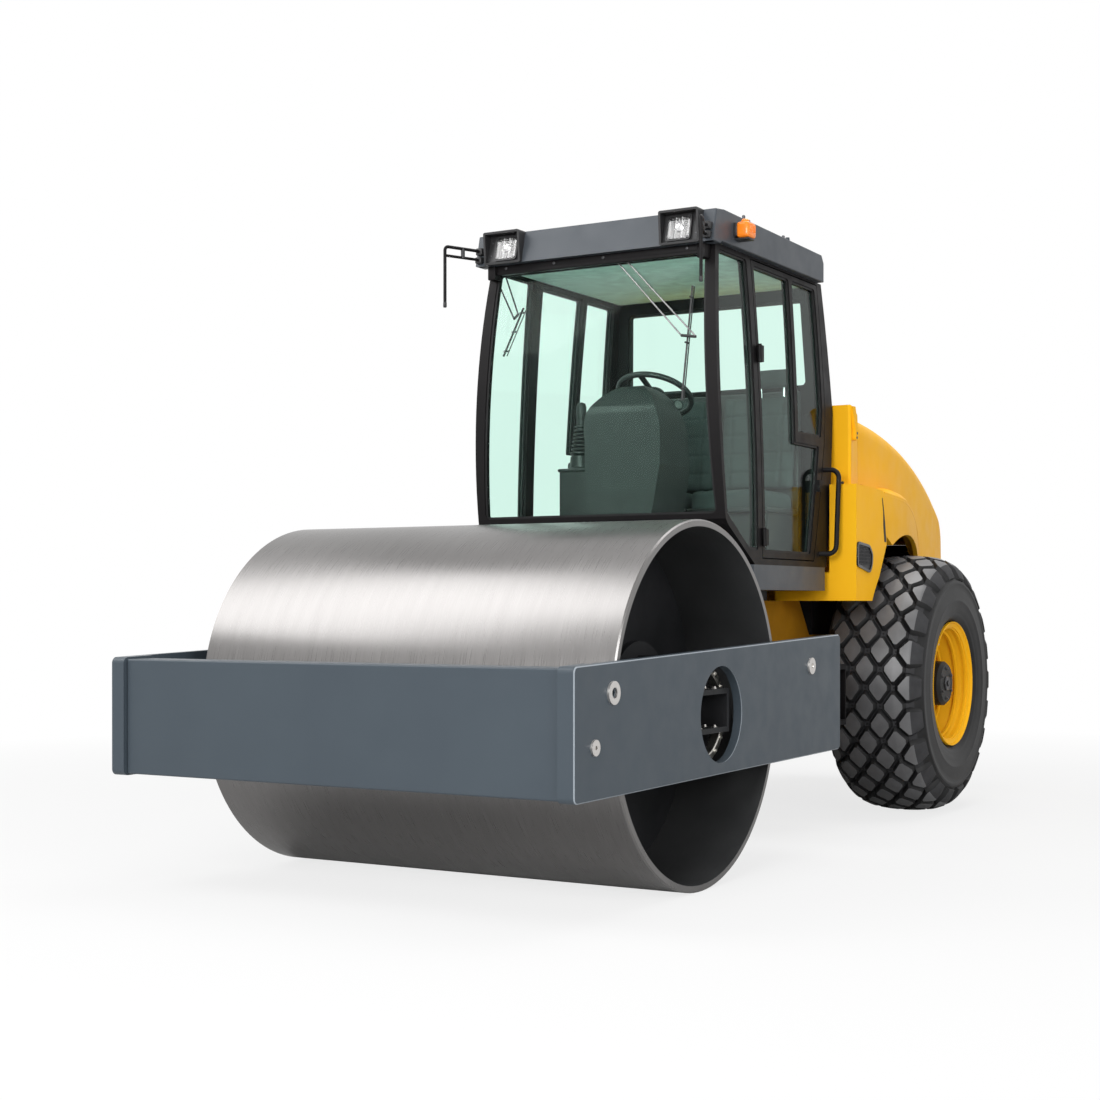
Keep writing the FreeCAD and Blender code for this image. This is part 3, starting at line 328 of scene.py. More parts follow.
def piece(name, bm, slot, material=None, body="rear_frame", sharp=32, extra=()):
    """Makes an object of a bmesh, smooth but for its sharp edges, and lets it ride on a body."""
    bmesh.ops.recalc_face_normals(bm, faces=bm.faces)
    mesh = bpy.data.meshes.new(name)
    bm.to_mesh(mesh)
    bm.free()
    mesh.polygons.foreach_set("use_smooth", [True] * len(mesh.polygons))
    mesh.set_sharp_from_angle(angle=math.radians(sharp))
    for key in (material or slot, *extra):
        mesh.materials.append(MATERIALS[key])
    thing = bpy.data.objects.new(name, mesh)
    bpy.context.scene.collection.objects.link(thing)
    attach(thing, body)
    return thing


def joined(bm, lower, upper):
    """Faces between two rings of vertices, either of which may be a single point."""
    sides = max(len(lower), len(upper))
    for i in range(sides):
        j = (i + 1) % sides
        corners = [lower[i % len(lower)], lower[j % len(lower)], upper[j % len(upper)], upper[i % len(upper)]]
        corners = list(dict.fromkeys(corners))
        if len(corners) > 2:
            bm.faces.new(corners)


def lathe(bm, point, along, profile, sides=24):
    """Turns a profile of (distance, radius) around a direction. A radius of 0 closes the end."""
    where = facing(point, along)
    angles = [2 * math.pi * i / sides for i in range(sides)]
    rings = []
    for distance, radius in profile:
        rings.append([bm.verts.new(where @ Vector((radius * math.cos(a), radius * math.sin(a), distance)))
                      for a in (angles if radius else angles[:1])])
    for lower, upper in zip(rings, rings[1:]):
        joined(bm, lower, upper)


def stud(bm, point, along, radius, shoulder, tip, high, sides):
    """A round or many-sided head that narrows from its shoulder to its tip."""
    lathe(bm, point, along, [(0, radius), (shoulder, radius), (high, tip), (high, 0)], sides)


def bolt(bm, point, along, radius=0.012):
    """A washer and a hexagon head with a bevelled top."""
    washer = radius * 1.5
    lathe(bm, point, along, [(-0.002, washer), (0.002, washer), (0.003, radius * 1.4), (0.003, 0)], 20)
    high = 0.003 + radius * 0.8
    lathe(bm, point, along, [(0.002, radius), (high - 0.003, radius), (high, radius * 0.82), (high, 0)], 6)


def block(bm, low, high, bevel=0.004, segments=2, where=None):
    """A box between two corners with rounded edges, in world space or in a frame of its own."""
    low, high = Vector(low), Vector(high)
    size = high - low
    fit = Matrix.Translation((low + high) / 2) @ Matrix.Diagonal((*size, 1))
    if where:
        fit = where @ fit
    made = bmesh.ops.create_cube(bm, size=1, matrix=fit)["verts"]
    edges = list({edge for v in made for edge in v.link_edges})
    bmesh.ops.bevel(bm, geom=edges, offset=bevel, segments=segments, profile=0.5, affect="EDGES")


def slab(bm, x, from_drum, z, bevel=0.004, segments=2):
    """A rounded box given by its low and high places along each axis; those along X come in any order."""
    block(bm, (min(x), y(from_drum[0]), z[0]), (max(x), y(from_drum[1]), z[1]), bevel, segments)


def slabs(name, rows, slot, material=None):
    """One piece of several rounded boxes."""
    bm = bmesh.new()
    for row in rows:
        slab(bm, *row)
    return piece(name, bm, slot, material)


def prism(bm, outline, spot, low, high, bevel=0.0):
    """An outline of (a, b) drawn out between two depths; spot(a, b, depth) gives each point."""
    rings = [[bm.verts.new(spot(a, b, depth)) for a, b in outline] for depth in (low, high)]
    ends = [bm.faces.new(ring) for ring in rings]
    joined(bm, *rings)
    if bevel:
        edges = list({edge for face in ends for edge in face.edges})
        bmesh.ops.bevel(bm, geom=edges, offset=bevel, segments=2, profile=0.5, affect="EDGES")


def corner(before, here, after, most, share, steps):
    """Points on a curve that rounds a corner off, over a length or a share of each side at most."""
    back, ahead = before - here, after - here
    reach = min(most, back.length * share, ahead.length * share)
    start, end = here + back.normalized() * reach, here + ahead.normalized() * reach
    return [start * (1 - t) ** 2 + here * 2 * t * (1 - t) + end * t ** 2
            for t in (i / steps for i in range(steps + 1))]


def bent(points, bend):
    """A line through points with its corners rounded."""
    points = [Vector(p) for p in points]
    line = [points[0]]
    for before, here, after in zip(points, points[1:], points[2:]):
        line += corner(before, here, after, bend, 0.5, 6)
    return line + [points[-1]]


def tube(bm, points, radius, bend=0.03, sides=12, flat=1.0):
    """A round bar along points; flat below 1 squeezes its section."""
    line = bent(points, bend) if len(points) > 2 else [Vector(p) for p in points]
    rings = []
    for i, here in enumerate(line):
        ahead = (line[min(i + 1, len(line) - 1)] - line[max(i - 1, 0)]).normalized()
        side = ahead.cross(Vector((0, 0, 1)))
        if side.length < 0.05:
            side = ahead.cross(Vector((0, 1, 0)))
        side.normalize()
        over = side.cross(ahead).normalized()
        rings.append([bm.verts.new(here + side * radius * math.cos(a) + over * radius * flat * math.sin(a))
                      for a in (2 * math.pi * k / sides for k in range(sides))])
    for lower, upper in zip(rings, rings[1:]):
        joined(bm, lower, upper)
    bm.faces.new(rings[0])
    bm.faces.new(rings[-1])


def neighbours(points):
    """Each point of a closed outline, with the one before it and the one after it."""
    points = [Vector(p) for p in points]
    return zip(points[-1:] + points[:-1], points, points[1:] + points[:1])


def inset(points, by):
    """A closed outline moved inwards by a distance, corner by corner."""
    area = sum(p[0] * q[1] - q[0] * p[1] for p, q in zip(points, points[1:] + points[:1]))
    sign = 1 if area > 0 else -1
    moved = []
    for before, here, after in neighbours(points):
        first, second = (here - before).normalized(), (after - here).normalized()
        normal = Vector((-first.y - second.y, first.x + second.x)) * sign
        moved.append(tuple(here + normal * by / (1 + first.dot(second))))
    return moved


def rounded(points, radius, longest=0.1):
    """A closed outline with rounded corners, and no edge much longer than the given length."""
    corners = [p for before, here, after in neighbours(points)
               for p in corner(before, here, after, radius, 0.45, 4)]
    line = []
    for here, after in zip(corners, corners[1:] + corners[:1]):
        parts = max(1, math.ceil((after - here).length / longest))
        line += [tuple(here.lerp(after, i / parts)) for i in range(parts)]
    return line


def band(bm, outline, width, radius, spot, low, high):
    """A flat strip that follows the inside of an outline, between two depths."""
    outer = rounded(outline, radius)
    inner = rounded(inset(outline, width), max(radius - width, 0.002))
    if len(inner) != len(outer):
        ratio = len(outer) / len(inner)
        inner = [inner[int(i / ratio)] for i in range(len(outer))]
    loops = [[bm.verts.new(spot(a, b, depth)) for a, b in line]
             for line, depth in ((outer, low), (outer, high), (inner, high), (inner, low))]
    for this, that in zip(loops, loops[1:] + loops[:1]):
        joined(bm, this, that)


def arc_through(first, middle, last):
    """The function b -> a of the arc through three points (a, b)."""
    (a1, b1), (a2, b2), (a3, b3) = first, middle, last
    d = 2 * (a1 * (b2 - b3) + a2 * (b3 - b1) + a3 * (b1 - b2))
    squares = [a1 * a1 + b1 * b1, a2 * a2 + b2 * b2, a3 * a3 + b3 * b3]
    centre_a = (squares[0] * (b2 - b3) + squares[1] * (b3 - b1) + squares[2] * (b1 - b2)) / d
    centre_b = (squares[0] * (a3 - a2) + squares[1] * (a1 - a3) + squares[2] * (a2 - a1)) / d
    radius = math.hypot(a1 - centre_a, b1 - centre_b)
    side = math.copysign(1, a2 - centre_a)
    return lambda b: centre_a + side * math.sqrt(radius * radius - (b - centre_b) ** 2)


# Surfaces of the cab: half width, front and rear by height
cab_half = arc_through((0.690, 1.300), (0.673, 2.134), (0.620, 2.900))
cab_front = arc_through((1.060, 2.880), (0.985, 2.170), (1.035, 1.575))


def cab_rear(z):
    if z < 2.19:
        return 2.273 + (z - 1.3) * 0.147 / 0.89
    return 2.420 - (z - 2.19) * 0.05 / 0.69


def on_side(side):
    """Points on the cab's side: (from_drum, z, depth behind the surface)."""
    return lambda a, b, depth: Vector((side * (cab_half(b) - depth), y(a), b))


def on_front(a, b, depth):
    return Vector((a, y(cab_front(b) + depth), b))


def on_rear(a, b, depth):
    return Vector((a, y(cab_rear(b) - depth), b))


def across(x, side=1):
    """Points on a plane across the X axis: (from_drum, z, depth behind the plane)."""
    return lambda a, b, depth: Vector((side * (x - depth), y(a), b))


# Rear tyres

WHEEL_X = 0.809
PITCHES = 22
STEP = math.pi / PITCHES
# The tyre's section, from its middle outwards: distance along it, then the place across and the
# radius on the blocks, and the same in the grooves
SECTION = [
    (0.000, 0.000, 0.7236, 0.000, 0.6985), (0.040, 0.040, 0.7228, 0.040, 0.6978),
    (0.078, 0.078, 0.7206, 0.078, 0.6955), (0.118, 0.118, 0.7166, 0.117, 0.6910),
    (0.156, 0.156, 0.7106, 0.154, 0.6845), (0.194, 0.195, 0.6985, 0.189, 0.6725),
    (0.228, 0.228, 0.6785, 0.220, 0.6535), (0.266, 0.258, 0.6450, 0.245, 0.6250),
    (0.310, 0.2795, 0.6000, 0.266, 0.5880)]
# Columns of blocks: distance along the section, half lengths towards the tyre's middle and outwards
COLUMNS = [(0.000, 0.049, 0.049), (0.078, 0.049, 0.049), (0.156, 0.048, 0.047)]
# Half angles of a block in steps, at its wide middle and at its ends, and half the length of that middle
BLOCK_TIP, BLOCK_END, BLOCK_FLAT = 0.67, 0.12, 0.007
# Blocks are pale up to this distance along the section, and the grooves this far across: partly wear, partly
# painted light on the faces that catch it, while the darker outer shoulder tops are painted shade
PALE_EDGE, PALE_FLOOR = 0.240, 0.25


def section_at(value, column):
    """The rows of the section below and above a value in one column, and the share between them."""
    for low, high in zip(SECTION, SECTION[1:]):
        if value <= high[column]:
            break
    return low, high, (value - low[column]) / (high[column] - low[column])


def tyre_spot(side, t, lift, angle):
    """A point on a tyre: distance along its section, 0 in a groove to 1 on a block, and angle."""
    low, high, share = section_at(min(abs(t), SECTION[-1][0]), 0)
    top_x, top_r, deep_x, deep_r = (a + (b - a) * share for a, b in zip(low[1:], high[1:]))
    across_tyre = math.copysign(1, t) * (deep_x + (top_x - deep_x) * lift)
    radius = deep_r + (top_r - deep_r) * lift
    x = side * (WHEEL_X + across_tyre)
    return Vector((x, AXLE_Y + radius * math.sin(angle), AXLE_Z - radius * math.cos(angle)))


def groove_radius(across_tyre):
    """The radius in the grooves at a distance from the tyre's middle."""
    low, high, share = section_at(across_tyre, 3)
    return low[4] + (high[4] - low[4]) * share


def tread_block(bm, side, rows, middle):
    """A block from rows of (distance along the section, half angle): top, bevel and sloping flanks."""
    centre = (rows[0][0] + rows[-1][0]) / 2
    columns = (-1, -0.5, 0, 0.5, 1)

    def along(t, scale):
        return centre + (t - centre) * scale

    def grid(scale, lift):
        return [[tyre_spot(side, along(t, scale), lift, middle + half * c * scale) for c in columns]
                for t, half in rows]

    def edge(points):
        right = [row[-1] for row in points[1:-1]]
        left = [row[0] for row in points[-2:0:-1]]
        return points[0] + right + points[-1][::-1] + left

    top = [[bm.verts.new(p) for p in row] for row in grid(0.97, 1.0)]
    for i, (upper, lower) in enumerate(zip(top, top[1:])):
        # Tops within PALE_EDGE take the palest rubber and the rest a darker one: partly wear, partly painted
        # light and shade.
        worn = abs(rows[i][0] + rows[i + 1][0]) / 2 < PALE_EDGE
        for j in range(len(columns) - 1):
            bm.faces.new([upper[j], upper[j + 1], lower[j + 1], lower[j]]).material_index = 1 if worn else 2
    ring = edge(top)
    for scale, lift in ((1.02, 0.93), (1.30, -0.06)):
        following = [bm.verts.new(p) for p in edge(grid(scale, lift))]
        joined(bm, ring, following)
        ring = following


# The tyre's wall from the last groove to the bead: place across and radius
WALL = [
    (0.274, 0.581), (0.2800, 0.575), (0.2822, 0.567), (0.2808, 0.559), (0.2788, 0.553), (0.2800, 0.527),
    (0.2826, 0.492), (0.2828, 0.476), (0.2836, 0.471), (0.2836, 0.466), (0.2815, 0.461), (0.2782, 0.431),
    (0.2718, 0.403), (0.2692, 0.396), (0.2692, 0.389), (0.2640, 0.379), (0.2560, 0.370), (0.2425, 0.354),
    (0.2230, 0.334)]
# The blocks on the shoulder: distance along the section and half angle, in steps
SHOULDER = [(0.180, 0.12), (0.221, 0.67), (0.236, 0.69), (0.268, 0.62), (0.3095, 0.52)]


def tyre(side, name):
    """Three kinds of blocks in rows, small studs between them and the wall down to the bead."""
    bm = bmesh.new()
    for i in range(PITCHES):
        for column in range(-2, 3):
            sign = -1 if column < 0 else 1
            t, inner, outer = COLUMNS[abs(column)]
            rows = [(t - inner, BLOCK_END), (t - BLOCK_FLAT, BLOCK_TIP), (t + BLOCK_FLAT, BLOCK_TIP),
                    (t + outer, BLOCK_END)]
            middle = (2 * i + column % 2) * STEP
            tread_block(bm, side, [(sign * r, half * STEP) for r, half in rows], middle)
            stud = tyre_spot(side, sign * t, 0.0, middle + STEP)
            hub = Vector((stud.x, AXLE_Y, AXLE_Z))
            lathe(bm, stud, stud - hub, [(-0.002, 0.0065), (0.0012, 0.0060), (0.0012, 0)], 8)
        for sign in (-1, 1):
            tread_block(bm, side, [(sign * t, half * STEP) for t, half in SHOULDER], (2 * i + 1) * STEP)
    half = [(row[3], row[4]) for row in SECTION] + WALL
    profile = [(-x, r) for x, r in half[::-1]] + half[1:]
    hub = Vector((side * WHEEL_X, AXLE_Y, AXLE_Z))
    lathe(bm, hub, (side, 0, 0), profile + [profile[0]], PITCHES * 6)
    for face in bm.faces:
        middle = face.calc_center_median()
        across_tyre = abs(abs(middle.x) - WHEEL_X)
        radius = math.hypot(middle.y - AXLE_Y, middle.z - AXLE_Z)
        # Groove floors near the middle take a paler rubber than the black flanks: partly wear, partly painted
        # light.
        if across_tyre < PALE_FLOOR and abs(radius - groove_radius(across_tyre)) < 0.0008:
            face.material_index = 2
    made = piece("tread_" + name, bm, "tyre_rubber", None, "wheel_" + name, 28, ["tyre_top", "tyre_floor"])
    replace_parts(made, "tyre_" + name)


# Bolts on a hub: how many, the first one's place in steps, place across, radius of their circle, and size
HUB_BOLTS = [(10, 0, 0.8245, 0.172, 0.0135), (12, 0.5, 0.8497, 0.139, 0.008), (6, 0, 1.0278, 0.084, 0.008)]
# Steps in a rim's barrel: place across and radius
RIM_STEPS = [(0.905, 0.2665), (0.985, 0.294), (1.035, 0.3155)]


def wheel_trim(side, name):
    """Nuts and cap screws on the hub, steps in the rim's barrel and the valve."""
    out, body = (side, 0, 0), "wheel_" + name

    def on_wheel(across_axle, radius, angle):
        up, behind = radius * math.cos(angle), radius * math.sin(angle)
        return Vector((side * across_axle, AXLE_Y + behind, AXLE_Z + up))

    bm = bmesh.new()
    for count, first, across_axle, radius, size in HUB_BOLTS:
        for i in range(count):
            bolt(bm, on_wheel(across_axle, radius, 2 * math.pi * (i + first) / count), out, size)
    lathe(bm, on_wheel(1.0275, 0, 0), out, [
        (0, 0.045), (0.006, 0.045), (0.010, 0.041), (0.010, 0.018), (0.016, 0.018), (0.016, 0)], 6)
    piece("hub_bolts_" + name, bm, "cast_black", "bolt_dark", body)
    bm = bmesh.new()
    for across_axle, radius in RIM_STEPS:
        low, high = radius - 0.004, radius + 0.010
        step = [(-0.010, high), (-0.006, low), (0.006, low), (0.010, high)]
        lathe(bm, on_wheel(across_axle, 0, 0), out, step, 96)
    lathe(bm, on_wheel(1.0655, 0, 0), out, [
        (-0.012, 0.338), (0.0, 0.3415), (0.0035, 0.345), (0.0035, 0.3475), (0.0, 0.3495), (-0.004, 0.3495),
        (-0.012, 0.338)], 96)
    piece("rim_beads_" + name, bm, "hood_yellow", body=body)
    bm = bmesh.new()
    lathe(bm, on_wheel(0.900, 0.246, 0.4), (side, -0.25, -0.15), [
        (0, 0.009), (0.012, 0.009), (0.013, 0.005), (0.045, 0.005), (0.046, 0.007), (0.058, 0.006),
        (0.060, 0)], 12)
    piece("valve_" + name, bm, "ram_chrome", "bolt_steel", body)


for side, name in SIDES:
    tyre(side, name)
    wheel_trim(side, name)


# Front frame

WINDOW_Y, WINDOW_Z = 0.095, 0.72
RING_BOLTS = 16
RING = [(0, 0.205), (0, 0.182), (0.004, 0.178), (0.040, 0.178), (0.044, 0.182), (0.044, 0.205), (0, 0.205)]
CARRIER_BOLTS = [
    (-0.21, 0.55), (0.21, 0.55), (-0.21, 0.93), (0.21, 0.93), (-0.21, 0.74), (0.21, 0.74), (0.05, 0.585),
    (0.0, 0.90), (0.12, 0.70)]
# Plugs in the bosses: distance behind the drum's axle, height, radius and sides
PLUGS = [(-0.980, 0.657, 0.0135, 6), (1.045, 0.891, 0.019, 24)]


def frame_bolts():
    """Bolts of the drum's carrier and its shelves, a steel ring in each round window, plugs in the bosses."""
    for side, name in SIDES:
        out = (side, 0, 0)
        bm = bmesh.new()
        for from_drum, z in CARRIER_BOLTS:
            bolt(bm, place(side * 0.925, from_drum, z), out, 0.015)
        for x in (0.955, 1.0, 1.045):
            for z in (0.662, 0.822):
                for from_drum in (-0.12, 0.02, 0.16):
                    bolt(bm, place(side * x, from_drum, z), (0, 0, 1), 0.008)
        piece("carrier_bolts_" + name, bm, "inner_steel", "bolt_steel", "front_frame")
        bm = bmesh.new()
        lathe(bm, place(side * 0.985, WINDOW_Y, WINDOW_Z), out, RING, 72)
        for i in range(RING_BOLTS):
            angle = 2 * math.pi * (i + 0.5) / RING_BOLTS
            from_drum, z = WINDOW_Y + 0.193 * math.sin(angle), WINDOW_Z + 0.193 * math.cos(angle)
            bolt(bm, place(side * 1.029, from_drum, z), out, 0.006)
        piece("window_ring_" + name, bm, "drum_steel", "pale_steel", "front_frame")
        bm = bmesh.new()
        for from_drum, z, radius, sides in PLUGS:
            lathe(bm, place(side * 1.1195, from_drum, z), out, [
                (-0.006, radius * 1.5), (-0.001, radius * 1.5), (0, radius * 1.4), (0, radius),
                (0.0005, 0.6 * radius), (-0.006, 0.5 * radius), (-0.006, 0)], sides)
        piece("boss_plugs_" + name, bm, "inner_steel", "bolt_steel", "front_frame")


frame_bolts()


# Roof, lamps and mirrors

VISOR_SLOPE = 0.2436
# A work lamp's middle: distance from the machine's middle, place behind the drum's axle and height
LAMP_X, LAMP_Y, LAMP_Z = 0.479, 0.960, 2.946
LAMP_FACE = [(0.0665 * p, 0.0635 * q) for p, q in SQUARE]
CELLS, CELL = 10, 0.0108


def lamp_pieces(side, name):
    """A work lamp: a black housing, bright facets round a middle reflector, and a clear cover."""
    def spot(a, b, depth):
        return Vector((side * LAMP_X + a, y(LAMP_Y + depth + b * VISOR_SLOPE), LAMP_Z + b))

    ahead = (0, -1, 0)
    bm = bmesh.new()
    band(bm, LAMP_FACE, 0.009, 0.018, spot, -0.0005, 0.0105)
    prism(bm, rounded(LAMP_FACE, 0.018), spot, 0.008, 0.0105)
    for p, q in SQUARE:
        stud(bm, spot(0.056 * p, 0.053 * q, 0.004), ahead, 0.004, 0.003, 0.003, 0.0035, 8)
    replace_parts(piece("lamp_housing_" + name, bm, "black_plastic"), "work_lamps")
    bm = bmesh.new()
    for i in range(CELLS):
        for j in range(CELLS):
            a, b = (i - CELLS / 2 + 0.5) * CELL, (j - CELLS / 2 + 0.5) * CELL
            if math.hypot(a, b) < 0.020 or (abs(a) > 0.045 and abs(b) > 0.045):
                continue
            lean = 0.0042 * ((i * 7 + j * 3) % 3 - 1)
            corners = [(a + p * CELL / 2, b + q * CELL / 2) for p, q in SQUARE]
            base = [bm.verts.new(spot(p, q, 0.0078)) for p, q in corners]
            joined(bm, base, [bm.verts.new(spot(a + lean, b - lean, 0.0020))])
    lathe(bm, spot(0, 0, 0.0080), ahead, [
        (0, 0.022), (0.002, 0.021), (0.004, 0.015), (0.0055, 0.008), (0.006, 0)], 24)
    piece("lamp_facets_" + name, bm, "ram_chrome", "lamp_silver", sharp=5)
    bm = bmesh.new()
    prism(bm, rounded(inset(LAMP_FACE, 0.0095), 0.010), spot, 0.0004, 0.0016)
    piece("lamp_cover_" + name, bm, "lamp_lens", "clear_cover")
    bm = bmesh.new()
    for b in (0.035, -0.035):
        stud(bm, spot(side * 0.090, b, 0.0118), ahead, 0.005, 0.003, 0.004, 0.0035, 10)
    piece("lamp_screws_" + name, bm, "cast_black", "bolt_dark")


def turn_lamps():
    """Orange lamps with upright ribs and a domed cap on black brackets."""
    orange, black = bmesh.new(), bmesh.new()
    for side in (1, -1):
        slab(orange, (side * 0.678, side * 0.742), (1.170, 1.266), (2.916, 2.990), 0.014, 4)
        for i in range(7):
            from_drum = 1.188 + i * 0.0100
            tube(orange, [place(side * 0.7425, from_drum, z) for z in (2.940, 2.977)], 0.0022, sides=8)
        lathe(orange, place(side * 0.702, 1.225, 2.985), (0, 0, 1), [
            (0, 0.021), (0.018, 0.020), (0.024, 0.014), (0.026, 0)], 20)
        slab(black, (side * 0.658, side * 0.680), (1.182, 1.268), (2.926, 2.990), 0.004)
        slab(black, (side * 0.66, side * 0.735), (1.190, 1.260), (2.908, 2.916), 0.002)
    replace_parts(piece("turn_lenses", orange, "lamp_orange"), "turn_lamps")
    piece("turn_brackets", black, "black_plastic")


def roof_trim():
    """The visor's band and screws, ribs and knobs on the roof, and the headliner under it."""
    corners = [((side * 0.56, side * 0.604), (0.985, 1.05), (2.800, 2.8685), 0.006) for side in (1, -1)]
    slabs("visor_band", [((-0.600, 0.600), (1.000, 1.046), (2.838, 2.8685), 0.003), *corners,
                         ((-0.56, 0.56), (1.0, 1.03), (2.822, 2.842), 0.003)], "cab_black")
    bm = bmesh.new()
    for x in (-0.503, -0.225, 0.051, 0.503):
        stud(bm, place(x, 1.0, 2.853), (0, -1, 0), 0.008, 0.004, 0.006, 0.005, 6)
    piece("visor_screws", bm, "cast_black", "bolt_dark")
    ribs = [((-0.50, 0.50), (start, start + 0.06), (3.016, 3.028), 0.005) for start in (1.25, 1.60, 1.95)]
    slabs("roof_ribs", ribs + [((-0.28, 0.28), (2.06, 2.22), (3.016, 3.040), 0.010)], "roof_slate")
    bm = bmesh.new()
    for side in (1, -1):
        for x, from_drum in ((0.645, 1.330), (0.620, 1.870)):
            lathe(bm, place(side * x, from_drum, 3.014), (0, 0, 1), [
                (0, 0.012), (0.012, 0.012), (0.014, 0.008), (0.036, 0.008), (0.040, 0.005), (0.040, 0)], 14)
    piece("roof_knobs", bm, "cast_black", "bolt_dark")
    sheet = [((-0.57, 0.57), (1.11, 2.31), (2.858, 2.8795), 0.008)]
    slabs("headliner", sheet, "seat_fabric", "headliner_cloth")


def mirror_clamps():
    """Clamps that hold the mirror arms to the visor, and the ends of the arms' joints."""
    bm = bmesh.new()
    for side in (1, -1):
        for from_drum, z, radius in ((0.962, 2.940, 0.018), (0.955, 2.896, 0.016)):
            slab(bm, (side * 0.612, side * 0.648), (from_drum - 0.020, from_drum + 0.020),
                 (z - radius, z + radius), 0.005)
        slab(bm, (side * 0.600, side * 0.655), (0.965, 1.000), (2.868, 2.900), 0.005)
        lathe(bm, place(side * 0.66, 0.845, 2.896), (0, 0, 1), [
            (-0.004, 0), (-0.004, 0.010), (0.048, 0.010), (0.048, 0)], 12)
        lathe(bm, place(side * 0.700, 0.745, 2.662), (0, 0, -1), [
            (0, 0.0088), (0.020, 0.0092), (0.024, 0.007), (0.024, 0)], 14)
    piece("mirror_clamps", bm, "black_plastic")


for side, name in SIDES:
    lamp_pieces(side, name)
turn_lamps()
roof_trim()
mirror_clamps()


# Glass seals, wipers and door fittings

DOOR_LOW = [(1.486, 1.430), (2.060, 1.430), (2.206, 2.000), (1.894, 2.000), (1.922, 2.838), (1.486, 2.838)]
DOOR_TOP = [(1.934, 2.050), (2.240, 2.050), (2.274, 2.190), (2.270, 2.838), (1.962, 2.838)]
quarter_edge = arc_through((1.094, 2.854), (1.016, 2.170), (1.056, 1.596))
QUARTER = [(quarter_edge(z), z) for z in (2.854, 2.67, 2.49, 2.31, 2.13, 1.95, 1.77, 1.596)] + [
    (1.300, 1.440), (1.406, 1.436), (1.406, 2.854)]
FRONT_PANE = [(-0.646, 1.600), (0.646, 1.600), (0.582, 2.835), (-0.582, 2.835)]
REAR_PANE = [(-0.540, 2.340), (0.540, 2.340), (0.520, 2.800), (-0.520, 2.800)]


def seals():
    """Rubber round each pane, outside and inside the glass."""
    fixed, moving = bmesh.new(), bmesh.new()
    rows = [(moving, DOOR_LOW, on_side(1)), (moving, DOOR_TOP, on_side(1)), (fixed, QUARTER, on_side(1)),
            (fixed, QUARTER, on_side(-1)), (fixed, DOOR_LOW, on_side(-1)), (fixed, DOOR_TOP, on_side(-1)),
            (fixed, FRONT_PANE, on_front), (fixed, REAR_PANE, on_rear)]
    for bm, outline, spot in rows:
        band(bm, outline, 0.011, 0.022, spot, 0.006, 0.0158)
        band(bm, outline, 0.010, 0.022, spot, 0.0242, 0.034)
    piece("cab_seals", fixed, "black_plastic", "seal_rubber")
    piece("door_seals", moving, "black_plastic", "seal_rubber", "door")


def wiper(name, spot, arms, blade, bracket, finish="satin_steel"):
    """Two thin arms to a bracket that holds a blade; places are (a, b) on the pane."""
    bm = bmesh.new()
    for start, end in arms:
        tube(bm, [spot(*start, -0.022), spot(*end, -0.020)], 0.0042, sides=8)
        foot = spot(*start, -0.010)
        stud(bm, foot, spot(*start, -0.030) - foot, 0.012, 0.016, 0.008, 0.020, 16)
    piece(name + "_arms", bm, "ram_chrome", finish)
    bm = bmesh.new()
    for (start, end), depth, radius, sides, flat in (
            (bracket, -0.020, 0.007, 8, 1.0), (blade, -0.012, 0.0065, 8, 0.7), (blade, 0.009, 0.003, 6, 1.0)):
        tube(bm, [spot(*start, depth), spot(*end, depth)], radius, sides=sides, flat=flat)
    for t in (0.1, 0.5, 0.9):
        a, b = (start + (end - start) * t for start, end in zip(*blade))
        tube(bm, [spot(a, b, -0.022), spot(a, b, 0.010)], 0.005, sides=8)
    piece(name + "_blade", bm, "black_plastic")


# Feet of the grab rails on the cab's side
RAIL_FEET = [(2.264, 1.880), (2.187, 1.435)]


def door_fittings():
    """Latch, handle and stay of the door, feet of the grab rails and bolts of the cab."""
    spot = on_side(1)
    bm = bmesh.new()
    plate = rounded([(2.190, 1.735), (2.214, 1.735), (2.222, 1.812), (2.198, 1.812)], 0.006)
    prism(bm, plate, spot, -0.010, 0.004, 0.002)
    piece("latch_plate", bm, "ram_chrome", "satin_steel", "door")
    bm = bmesh.new()
    plate = rounded([(2.120, 1.700), (2.176, 1.700), (2.190, 1.850), (2.134, 1.850)], 0.014)
    prism(bm, plate, spot, -0.006, 0.004, 0.003)
    bow = [(2.132, 1.722, -0.004), (2.138, 1.730, -0.034), (2.160, 1.818, -0.034), (2.163, 1.826, -0.004)]
    tube(bm, [spot(*p) for p in bow], 0.008, 0.02)
    stud(bm, spot(2.166, 1.76, -0.005), (1, 0, 0), 0.013, 0.010, 0.010, 0.014, 18)
    piece("door_handle", bm, "black_plastic", body="door")
    bm = bmesh.new()
    slab(bm, (0.668, 0.712), (2.248, 2.292), (1.775, 1.800), 0.006)
    slab(bm, (0.668, 0.716), (2.235, 2.300), (1.735, 1.748), 0.004)
    stud(bm, place(0.700, 2.290, 1.787), (0, 1, 0), 0.016, 0.018, 0.012, 0.022, 18)
    piece("door_stay", bm, "black_plastic")
    feet, bolts = bmesh.new(), bmesh.new()
    for side in (1, -1):
        for a, b in RAIL_FEET:
            plate = [(a + 0.024 * p, b + 0.040 * q) for p, q in SQUARE]
            prism(feet, rounded(plate, 0.020), on_side(side), -0.006, 0.002, 0.002)
            for rise in (-0.028, 0.028):
                bolt(bolts, on_side(side)(a, b + rise, -0.006), (side, 0, 0), 0.006)
        for from_drum in (1.449, 1.76, 2.07):
            bolt(bolts, place(side * 0.700, from_drum, 1.309), (side, 0, 0), 0.011)
    piece("rail_feet", feet, "cab_black")
    piece("cab_bolts", bolts, "cast_black", "bolt_dark")


